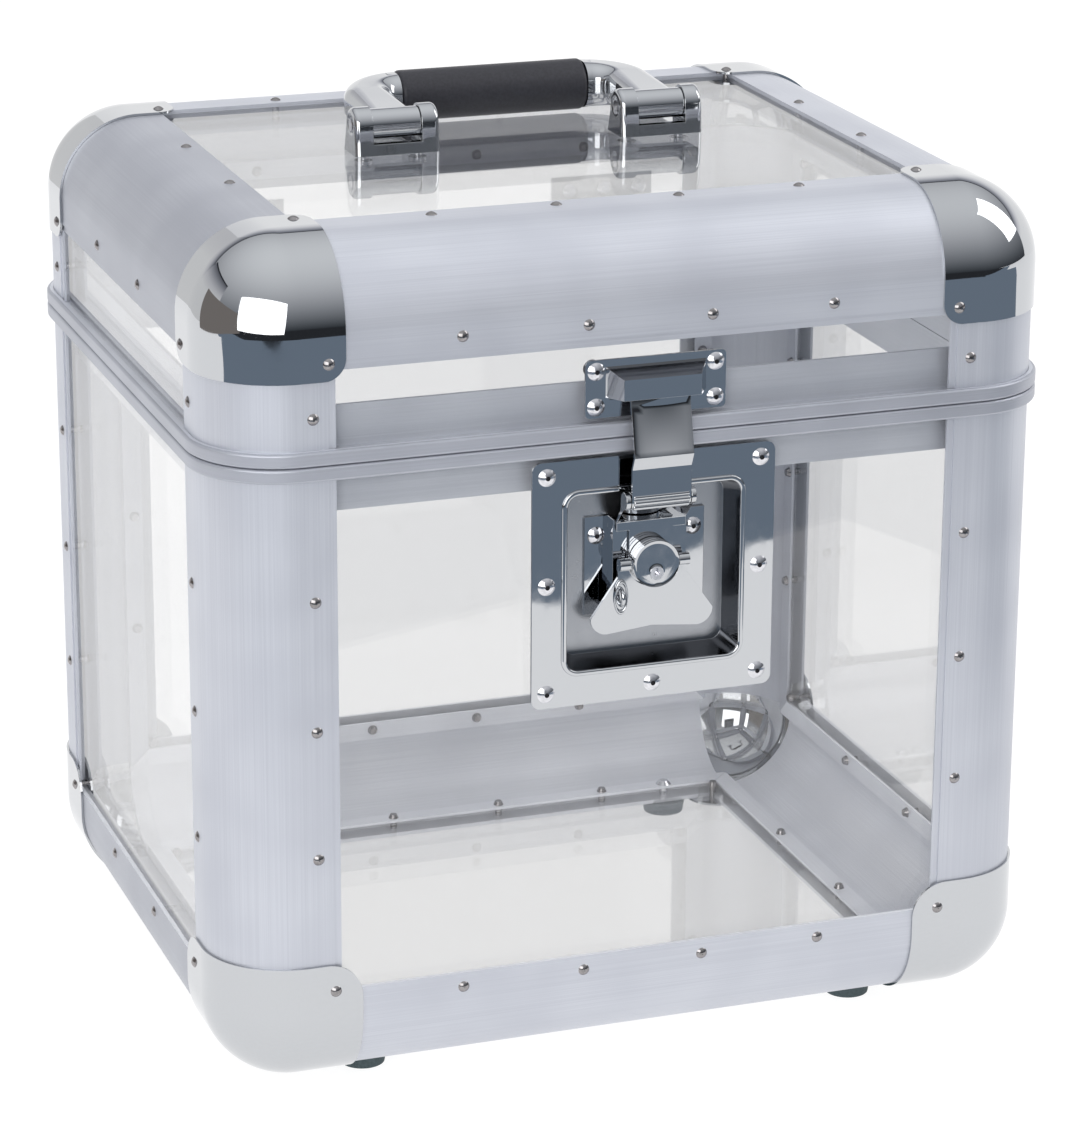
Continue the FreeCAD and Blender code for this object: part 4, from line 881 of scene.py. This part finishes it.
@dataclass
class Latch(Assembly):
    """Recessed butterfly latch on the front, and its keeper on the lid."""

    touch: float = 0.03 * MM
    sheet: float = 1.2 * MM
    sheet_round: float = 0.35 * MM
    turned_round: float = 0.21 * MM
    bead_lift: float = 0.2 * MM
    bead_round: float = 0.95 * MM
    floor_round: float = 2.6 * MM
    floor_slant: float = 0.9
    recess_start: float = 3.0 * MM
    keeper_round: float = 2.0 * MM
    crown_lean: float = 0.15 * MM
    crown_slants: tuple[float, float] = (-0.2, 0.3)
    hook_round: float = 0.25 * MM
    face_slants: tuple[float, float] = (-0.9, 0.1)
    fold_shade: float = 20.0
    cup_depth: float = 0.9 * MM
    cup_cuts: int = 9
    rib_radius: float = 1.25 * MM
    rib_circle: float = 3.3 * MM
    rib_turns: tuple[float, ...] = (-42.0, -2.0, 38.0)
    rib_inset: float = 0.6 * MM
    face_border: float = 1.3 * MM
    face_sink: float = 0.5 * MM
    groove_radius: float = 0.45 * MM
    groove_depths: tuple[float, ...] = (1.7 * MM, 3.6 * MM)
    boss_radius: float = 9.8 * MM
    boss_place: tuple[float, float] = (2.5 * MM, 221.5 * MM)
    knuckle: tuple[float, float] = (-155.7 * MM, 250.0 * MM)
    eye_place: tuple[float, float] = (-11.2 * MM, 207.5 * MM)
    eye_spread: tuple[float, float] = (2.7 * MM, 6.6 * MM)
    eye_collar: float = 1.1 * MM

    def build(self) -> None:
        """Round the edges of every fitting and plate it with chrome."""
        self.build_dish()
        self.build_boss()
        self.build_wing()
        for node, body in (("latch_bearing_plate", "base"), ("latch_slide", "latch_lift")):
            piece = Bench.copied(self.nodes[node], f"{node}_plated")
            Bench.soften(piece, self.sheet_round)
            self.settle(piece, body, "fitting_chrome", CHROME, node)
        self.build_hook()
        self.build_keeper()
        self.dress(["key_plug"], RIVET_STEEL)

    def build_dish(self) -> None:
        """Press the dish: a round bead about its mouth, soft corners at its floor, and painted shade
        in its recess.
        """
        low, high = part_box("latch_dish")
        floor = high.y - self.sheet
        piece = Bench.copied(self.nodes["latch_dish"], "latch_dish_pressed")
        Bench.push_chosen(piece, lambda point: point.y < low.y + self.touch, -self.bead_lift)
        Bench.round_chosen(
            piece, lambda a, b: max(a.y, b.y) < low.y - self.touch, self.bead_round
        )
        Bench.round_chosen(
            piece,
            lambda a, b: max(abs(a.y - floor), abs(b.y - floor)) < self.touch,
            self.floor_round,
        )
        Bench.soften(piece, self.sheet_round)
        self.settle(piece, "base", "fitting_chrome", PRESSED_CHROME, "latch_dish")
        piece.data.materials.append(RECESS_CHROME.material())
        piece.data.materials.append(SHADED_CHROME.material())
        # Painted shade in the recess: darker, rougher chrome on its floor and dark chrome on its
        # walls.
        for face in piece.data.polygons:
            if face.center.y > low.y + self.recess_start:
                face.material_index = 1 if abs(face.normal.y) > self.floor_slant else 2

    def build_keeper(self) -> None:
        """Press the keeper: its hump leans back a little and its folds are soft."""
        low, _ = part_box("keeper")
        piece = Bench.copied(self.nodes["keeper"], "keeper_pressed")
        proud = low.y + self.touch
        crown = max(v.co.z for v in piece.data.vertices if v.co.y < proud) - self.touch
        Bench.push_chosen(
            piece, lambda point: point.y < proud and point.z > crown, self.crown_lean
        )
        Bench.soften(piece, self.keeper_round, segments=4, limit=25.0)
        self.settle(piece, "lid", "fitting_chrome", PRESSED_CHROME, "keeper")
        piece.data.materials.append(SHADED_CHROME.material())
        outward, upward = self.crown_slants
        for face in piece.data.polygons:
            face.material_index = int(face.normal.y < outward and face.normal.z > upward)

    def build_hook(self) -> None:
        """Press the hook: crisp folds, a cupped upper face and a ribbed knuckle."""
        piece = Bench.copied(self.nodes["latch_hook"], "latch_hook_plated")
        Bench.soften(piece, self.hook_round, limit=15.0, shade=self.fold_shade)
        self.cup_face(piece)
        low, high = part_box("latch_hook")
        ribs = [piece]
        for turn in self.rib_turns:
            Bench.deselect()
            lean = math.radians(turn)
            bpy.ops.mesh.primitive_cylinder_add(
                vertices=24,
                radius=self.rib_radius,
                depth=high.x - low.x - 2 * self.rib_inset,
                location=(
                    (low.x + high.x) / 2,
                    self.knuckle[0] - self.rib_circle * math.cos(lean),
                    self.knuckle[1] + self.rib_circle * math.sin(lean),
                ),
                rotation=(0.0, math.radians(90.0), 0.0),
            )
            rib = Bench.finish_place(bpy.context.object, "knuckle_rib")
            Bench.soften(rib, self.rib_radius / 2)
            ribs.append(rib)
        piece = Bench.joined(ribs, "latch_hook_plated")
        self.settle(piece, "latch_lift", "fitting_chrome", CHROME, "latch_hook")

    def cup_face(self, piece: Piece) -> None:
        """Cut the hook's tall leaning face finely and press its middle in."""
        with Bench.editing(piece):
            bpy.ops.mesh.select_mode(type="FACE")
            mesh = bmesh.from_edit_mesh(piece.data)
            outward, upward = self.face_slants
            leaning = [f for f in mesh.faces if f.normal.y < outward and f.normal.z > upward]
            tall = max(leaning, key=lambda face: face.calc_area())
            spread = [[vertex.co[axis] for vertex in tall.verts] for axis in (0, 2)]
            tall.select_set(True)
            bmesh.update_edit_mesh(piece.data)
            bpy.ops.mesh.subdivide(number_cuts=self.cup_cuts)
            mesh = bmesh.from_edit_mesh(piece.data)
            for vertex in mesh.verts:
                if vertex.select:
                    sink = self.cup_depth
                    for place, ends in zip((vertex.co.x, vertex.co.z), spread, strict=True):
                        share = (place - min(ends)) / (max(ends) - min(ends))
                        sink *= 4 * share * (1 - share)
                    vertex.co.y += max(sink, 0.0)
            bmesh.update_edit_mesh(piece.data)
        Bench.smooth(piece, self.fold_shade)

    def build_boss(self) -> None:
        """Turn the boss: a sunk face inside two rims, and grooves round its side."""
        low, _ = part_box("latch_boss")
        piece = Bench.copied(self.nodes["latch_boss"], "latch_boss_turned")
        Bench.sink_faces(
            piece,
            lambda middle, normal: normal.y < -FLAT and middle.y < low.y + self.touch,
            self.face_border,
            self.face_sink,
        )
        for depth in self.groove_depths:
            Bench.deselect()
            bpy.ops.mesh.primitive_torus_add(
                location=(self.boss_place[0], low.y + depth, self.boss_place[1]),
                rotation=(math.radians(90.0), 0.0, 0.0),
                major_radius=self.boss_radius,
                minor_radius=self.groove_radius,
                major_segments=72,
                minor_segments=12,
            )
            Bench.cut(piece, bpy.context.object)
        Bench.soften(piece, self.turned_round, segments=2)
        self.settle(piece, "latch_turn", "fitting_chrome", CHROME, "latch_boss")

    def build_wing(self) -> None:
        """Press the wing and give its padlock eye an oval collar."""
        wing = Bench.copied(self.nodes["latch_wing"], "latch_wing_pressed")
        Bench.soften(wing, self.sheet_round)
        front = self.wing_front(wing)
        Bench.deselect()
        bpy.ops.mesh.primitive_torus_add(
            location=(self.eye_place[0], front, self.eye_place[1]),
            rotation=(math.radians(90.0), 0.0, 0.0),
            major_radius=self.eye_spread[1],
            minor_radius=self.eye_collar,
            major_segments=48,
            minor_segments=14,
        )
        collar = bpy.context.object
        collar.scale.x = self.eye_spread[0] / self.eye_spread[1]
        Bench.finish_place(collar, "eye_collar")
        Bench.smooth(collar, 60.0)
        piece = Bench.joined([wing, collar], "latch_wing_pressed")
        self.settle(piece, "latch_flap", "fitting_chrome", CHROME, "latch_wing")

    @staticmethod
    def wing_front(wing: Piece) -> float:
        """Depth of the wing's broad front face."""
        broadest = max(
            (face for face in wing.data.polygons if face.normal.y < -FLAT),
            key=lambda face: face.area,
        )
        return broadest.center.y


@dataclass
class Hinges(Assembly):
    """The two hinges on the back."""

    leaf_round: float = 0.3 * MM

    def build(self) -> None:
        """Round the edges of the leaves and plate them with zinc, made pale as painted light."""
        for node, body in (("hinge_base_leaves", "base"), ("hinge_lid_leaves", "lid")):
            piece = Bench.copied(self.nodes[node], f"{node}_plated")
            Bench.soften(piece, self.leaf_round, segments=2)
            self.settle(piece, body, "fitting_chrome", HINGE_ZINC, node)


@dataclass
class Handle(Assembly):
    """Folding handle on the lid: brackets, arms and grip."""

    touch: float = 0.03 * MM
    ear_round: float = 4.5 * MM
    heel: float = 5.0 * MM
    heel_trim: float = 4.5 * MM
    bracket_round: float = 0.7 * MM
    arm_round: float = 0.8 * MM

    def build(self) -> None:
        """Round the brackets and arms, and dress the grip."""
        for side in ("left", "right"):
            self.build_bracket(f"handle_{side}_bracket")
            arm = f"handle_{side}_arm"
            piece = Bench.copied(self.nodes[arm], f"{arm}_cast")
            Bench.soften(piece, self.arm_round)
            self.settle(piece, "handle", "fitting_chrome", CHROME, arm)
        self.dress(["handle_grip"], GRIP_PLASTIC)

    def build_bracket(self, node: str) -> None:
        """Round the outer edges of a bracket well, and its slot a little."""
        low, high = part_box(node)
        piece = Bench.copied(self.nodes[node], f"{node}_cast")
        Bench.push_chosen(piece, lambda point: point.y > high.y - self.heel, -self.heel_trim)
        Bench.round_chosen(
            piece,
            lambda a, b: min(a.z, b.z) + self.touch > low.z
            and max(a.z, b.z) > low.z + self.ear_round
            and (max(a.x, b.x) < low.x + self.touch or min(a.x, b.x) > high.x - self.touch),
            self.ear_round,
            8,
        )
        Bench.soften(piece, self.bracket_round)
        self.settle(piece, "lid", "fitting_chrome", CHROME, node)


@dataclass
class Feet(Assembly):
    """Four rubber feet."""

    def build(self) -> None:
        """Dress the feet in moulded rubber."""
        self.dress(["rubber_feet"], FOOT_RUBBER)


@dataclass(frozen=True)
class Glow(Finish):
    """Even or upright-graded light of a surface that only mirrors see."""

    stops: Stops = ((0.0, WHITE),)
    strength: float = 1.0
    height: float = 1.0

    def build(self, tree: Tree) -> None:
        """Colours by height above the floor, each stop a share of the full height."""
        place = add_node(tree, "ShaderNodeTexCoord").outputs["Object"]
        axes = add_node(tree, "ShaderNodeSeparateXYZ", {"Vector": place})
        share = stretched(tree, axes.outputs["Z"], (0.0, 1.0), (0.0, self.height))
        colour = coloured(tree, share, self.stops)
        glow = add_node(
            tree, "ShaderNodeEmission", {"Color": colour, "Strength": self.strength}
        )
        show(tree, glow)


class Reflector:
    """What every reflector shares: mirrors see it, and nothing else does."""

    @staticmethod
    def hide(card: Piece, glow: Glow) -> None:
        """Give a reflector its light and keep it out of sight of all but mirrors."""
        card.data.materials.append(glow.material())
        card.visible_camera = False
        card.visible_diffuse = False
        card.visible_shadow = False
        card.visible_transmission = False


@dataclass
class Card(Reflector):
    """A flat reflector in the studio's own directions: across, away from the camera, up."""

    name: str
    middle: Point
    size: tuple[float, float]
    faces: Point
    stops: Stops = ((0.0, WHITE),)
    strength: float = 1.0
    roll: float = 0.0

    @classmethod
    def lying(
        cls, name: str, across: float, away: float, size: tuple[float, float], stops: Stops
    ) -> Card:
        """Lay a card on the floor, just above it.

        Args:
            name: Name of the card.
            across: Its middle across the view.
            away: Its middle away from the camera.
            size: Its two sides.
            stops: Its colours.

        Returns:
            The card, facing up.
        """
        return cls(name, (across, away, 0.5 * MM), size, (across, away, 1.0), stops)

    def build(self, studio_turn: float) -> None:
        """Stand the card up where it faces its point.

        Args:
            studio_turn: Angle of the studio about the upright, in radians.
        """
        Bench.deselect()
        bpy.ops.mesh.primitive_plane_add(size=1.0)
        card = bpy.context.object
        aim = Vector(self.faces) - Vector(self.middle)
        stand = aim.to_track_quat("Z", "Y").to_matrix().to_4x4()
        place = Matrix.Translation(self.middle) @ stand @ Matrix.Rotation(self.roll, 4, "Z")
        spread = Matrix.Diagonal((*self.size, 1.0, 1.0))
        card.matrix_world = Matrix.Rotation(studio_turn, 4, "Z") @ place @ spread
        Bench.finish_place(card, self.name)
        height = max(vertex.co.z for vertex in card.data.vertices)
        self.hide(card, Glow(f"{self.name}_light", self.stops, self.strength, height))


@dataclass
class GreyDome(Reflector):
    """The dim room over the white table: dark round the horizon, paler overhead."""

    radius: float = 5.0
    stops: Stops = (
        (0.0, "#3C4045"),
        (0.12, "#64686D"),
        (0.34, "#94979C"),
        (0.57, "#BBBDC1"),
        (0.77, "#D8DADD"),
        (1.0, "#F4F6F8"),
    )

    def build(self, studio_turn: float) -> None:
        """Set half a globe over the case.

        Args:
            studio_turn: Angle of the studio about the upright, in radians.
        """
        Bench.deselect()
        bpy.ops.mesh.primitive_uv_sphere_add(segments=48, ring_count=24, radius=self.radius)
        bpy.context.object.rotation_euler.z = studio_turn
        dome = Bench.finish_place(bpy.context.object, "grey_dome")
        with Bench.editing(dome):
            bpy.ops.mesh.select_all(action="SELECT")
            bpy.ops.mesh.bisect(
                plane_co=(0.0, 0.0, 0.0), plane_no=(0.0, 0.0, 1.0), clear_inner=True
            )
        self.hide(dome, Glow("grey_dome_light", self.stops, 1.0, self.radius))


@dataclass(frozen=True)
class Lamp:
    """A square soft light that mirrors do not show: its place, target, side and watts."""

    name: str
    place: Point
    target: Point
    size: float
    power: float

    def build(self) -> None:
        """Hang the light and turn it to its target."""
        Bench.deselect()
        bpy.ops.object.light_add(type="AREA", location=self.place)
        lamp = bpy.context.object
        lamp.name = self.name
        lamp.data.size = self.size
        lamp.data.energy = self.power
        aim = Vector(self.target) - Vector(self.place)
        lamp.rotation_euler = aim.to_track_quat("-Z", "Y").to_euler()
        lamp.visible_camera = False
        lamp.visible_glossy = False


@dataclass
class Studio:
    """Pale floor, soft lights, reflectors and the camera of the photograph."""

    floor_size: float = 40.0
    floor_colours: tuple[str, str] = ("#6C6C6D", "#717172")
    floor_glow: float = 0.92
    camera_place: Point = (-0.5800, -1.6564, 0.7618)
    camera_aim: Point = (0.31677, 0.89361, -0.31798)
    camera_up: Point = (0.10160, 0.30135, 0.94808)
    lens_mm: float = 140.04
    sensor_mm: float = 36.0
    room_colour: str = "#ACACAE"
    light_passes: int = 48
    lamps: tuple[Lamp, ...] = (
        Lamp("ceiling", (0.0, 0.6, 3.2), (0.0, 0.6, 0.0), 6.0, 120.0),
        Lamp("key", (-1.0, -2.2, 1.1), (0.0, 0.0, 0.15), 1.4, 19.0),
    )
    carpet: Stops = ((0.0, "#7A8796"),)
    dark_floor: Stops = ((0.0, "#303236"),)
    wall: Stops = ((0.0, "#86807C"),)
    sweep: Stops = (
        (0.0, WHITE),
        (0.5, WHITE),
        (0.66, "#E6E6EA"),
        (0.84, "#A8AAB2"),
        (0.955, "#74767E"),
        (0.965, "#34363C"),
    )
    reflectors: list[Card | GreyDome] = field(init=False)

    def __post_init__(self) -> None:
        """Place the reflectors round the case."""
        top_left = (-0.11, -0.18, 0.34)
        top_right = (0.19, -0.07, 0.34)
        self.reflectors = [
            GreyDome(),
            Card("back_sweep", (1.6, 1.7, 0.9), (4.8, 1.8), (1.6, 0.0, 0.9), self.sweep, 1.05),
            Card("left_sweep", (-1.7, 1.7, 0.9), (1.8, 1.8), (-1.7, 0.0, 0.9), self.sweep, 0.8),
            Card("left_screen", (-2.4, 0.5, 1.0), (2.4, 2.0), (0.0, 0.5, 1.0), self.sweep, 0.8),
            Card.lying("right_carpet", 1.62, -0.27, (2.0, 0.72), self.carpet),
            Card.lying("front_carpet", 0.0, -0.99, (9.0, 0.72), self.carpet),
            Card.lying("dark_floor", 0.0, -3.15, (9.0, 3.6), self.dark_floor),
            Card("left_wall", (-1.5, -0.78, 0.42), (1.95, 0.8), (0.0, -0.78, 0.42), self.wall),
            Card("left_window", (-0.29, -0.95, 0.54), (0.98, 0.66), top_left, strength=3.0, roll=0.06),
            Card("right_strip", (0.84, 0.06, 0.88), (0.42, 0.72), top_right, strength=3.0),
        ]

    def build(self) -> None:
        """Set up floor, light, reflectors and camera."""
        self.build_floor()
        aim = Vector(self.camera_aim)
        studio_turn = -math.atan2(aim.x, aim.y)
        for reflector in self.reflectors:
            reflector.build(studio_turn)
        for lamp in self.lamps:
            lamp.build()
        self.build_world()
        self.build_camera()

    def build_floor(self) -> None:
        """A plain pale floor that ends nowhere near the case."""
        Bench.deselect()
        bpy.ops.mesh.primitive_plane_add(size=self.floor_size, location=(0.0, 0.0, 0.0))
        floor = Bench.finish_place(bpy.context.object, "pale_floor")
        paper = GrainedSurface(
            "pale_paper",
            dark=self.floor_colours[0],
            light=self.floor_colours[1],
            roughness=(0.85, 0.95),
            grain_mm=4.0,
            relief_mm=0.0,
            specular=0.1,
            glow=self.floor_glow,
        )
        floor.data.materials.append(paper.material())

    def build_world(self) -> None:
        """A dim grey room around the lit floor."""
        world = bpy.data.worlds.new("grey_room")
        world.use_nodes = True
        world.node_tree.nodes.clear()
        room = add_node(
            world.node_tree,
            "ShaderNodeBackground",
            {"Color": linear(self.room_colour), "Strength": 1.0},
        )
        add_node(world.node_tree, "ShaderNodeOutputWorld", {"Surface": room.outputs[0]})
        bpy.context.scene.world = world
        bpy.context.scene.view_settings.view_transform = "Standard"
        bpy.context.scene.cycles.transparent_max_bounces = self.light_passes

    def build_camera(self) -> None:
        """Stand the camera where the photograph was taken from."""
        aim = Vector(self.camera_aim).normalized()
        right = aim.cross(Vector(self.camera_up)).normalized()
        up = right.cross(aim)
        turn = Matrix((right, up, -aim)).transposed().to_4x4()
        data = bpy.data.cameras.new("photo_camera")
        data.sensor_fit = "HORIZONTAL"
        data.sensor_width = self.sensor_mm
        data.lens = self.lens_mm
        data.clip_start = 0.05
        camera = bpy.data.objects.new("photo_camera", data)
        bpy.context.scene.collection.objects.link(camera)
        camera.matrix_world = Matrix.Translation(self.camera_place) @ turn
        bpy.context.scene.camera = camera


def main() -> None:
    """Load the frame, build each sub-assembly in order and set up the studio."""
    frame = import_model()
    nodes = frame["nodes"]
    for assembly in (EdgeFrame, ClearSheets, Fastenings, Latch, Hinges, Handle, Feet):
        assembly(nodes).build()
    Studio().build()


if __name__ == "__main__":
    main()
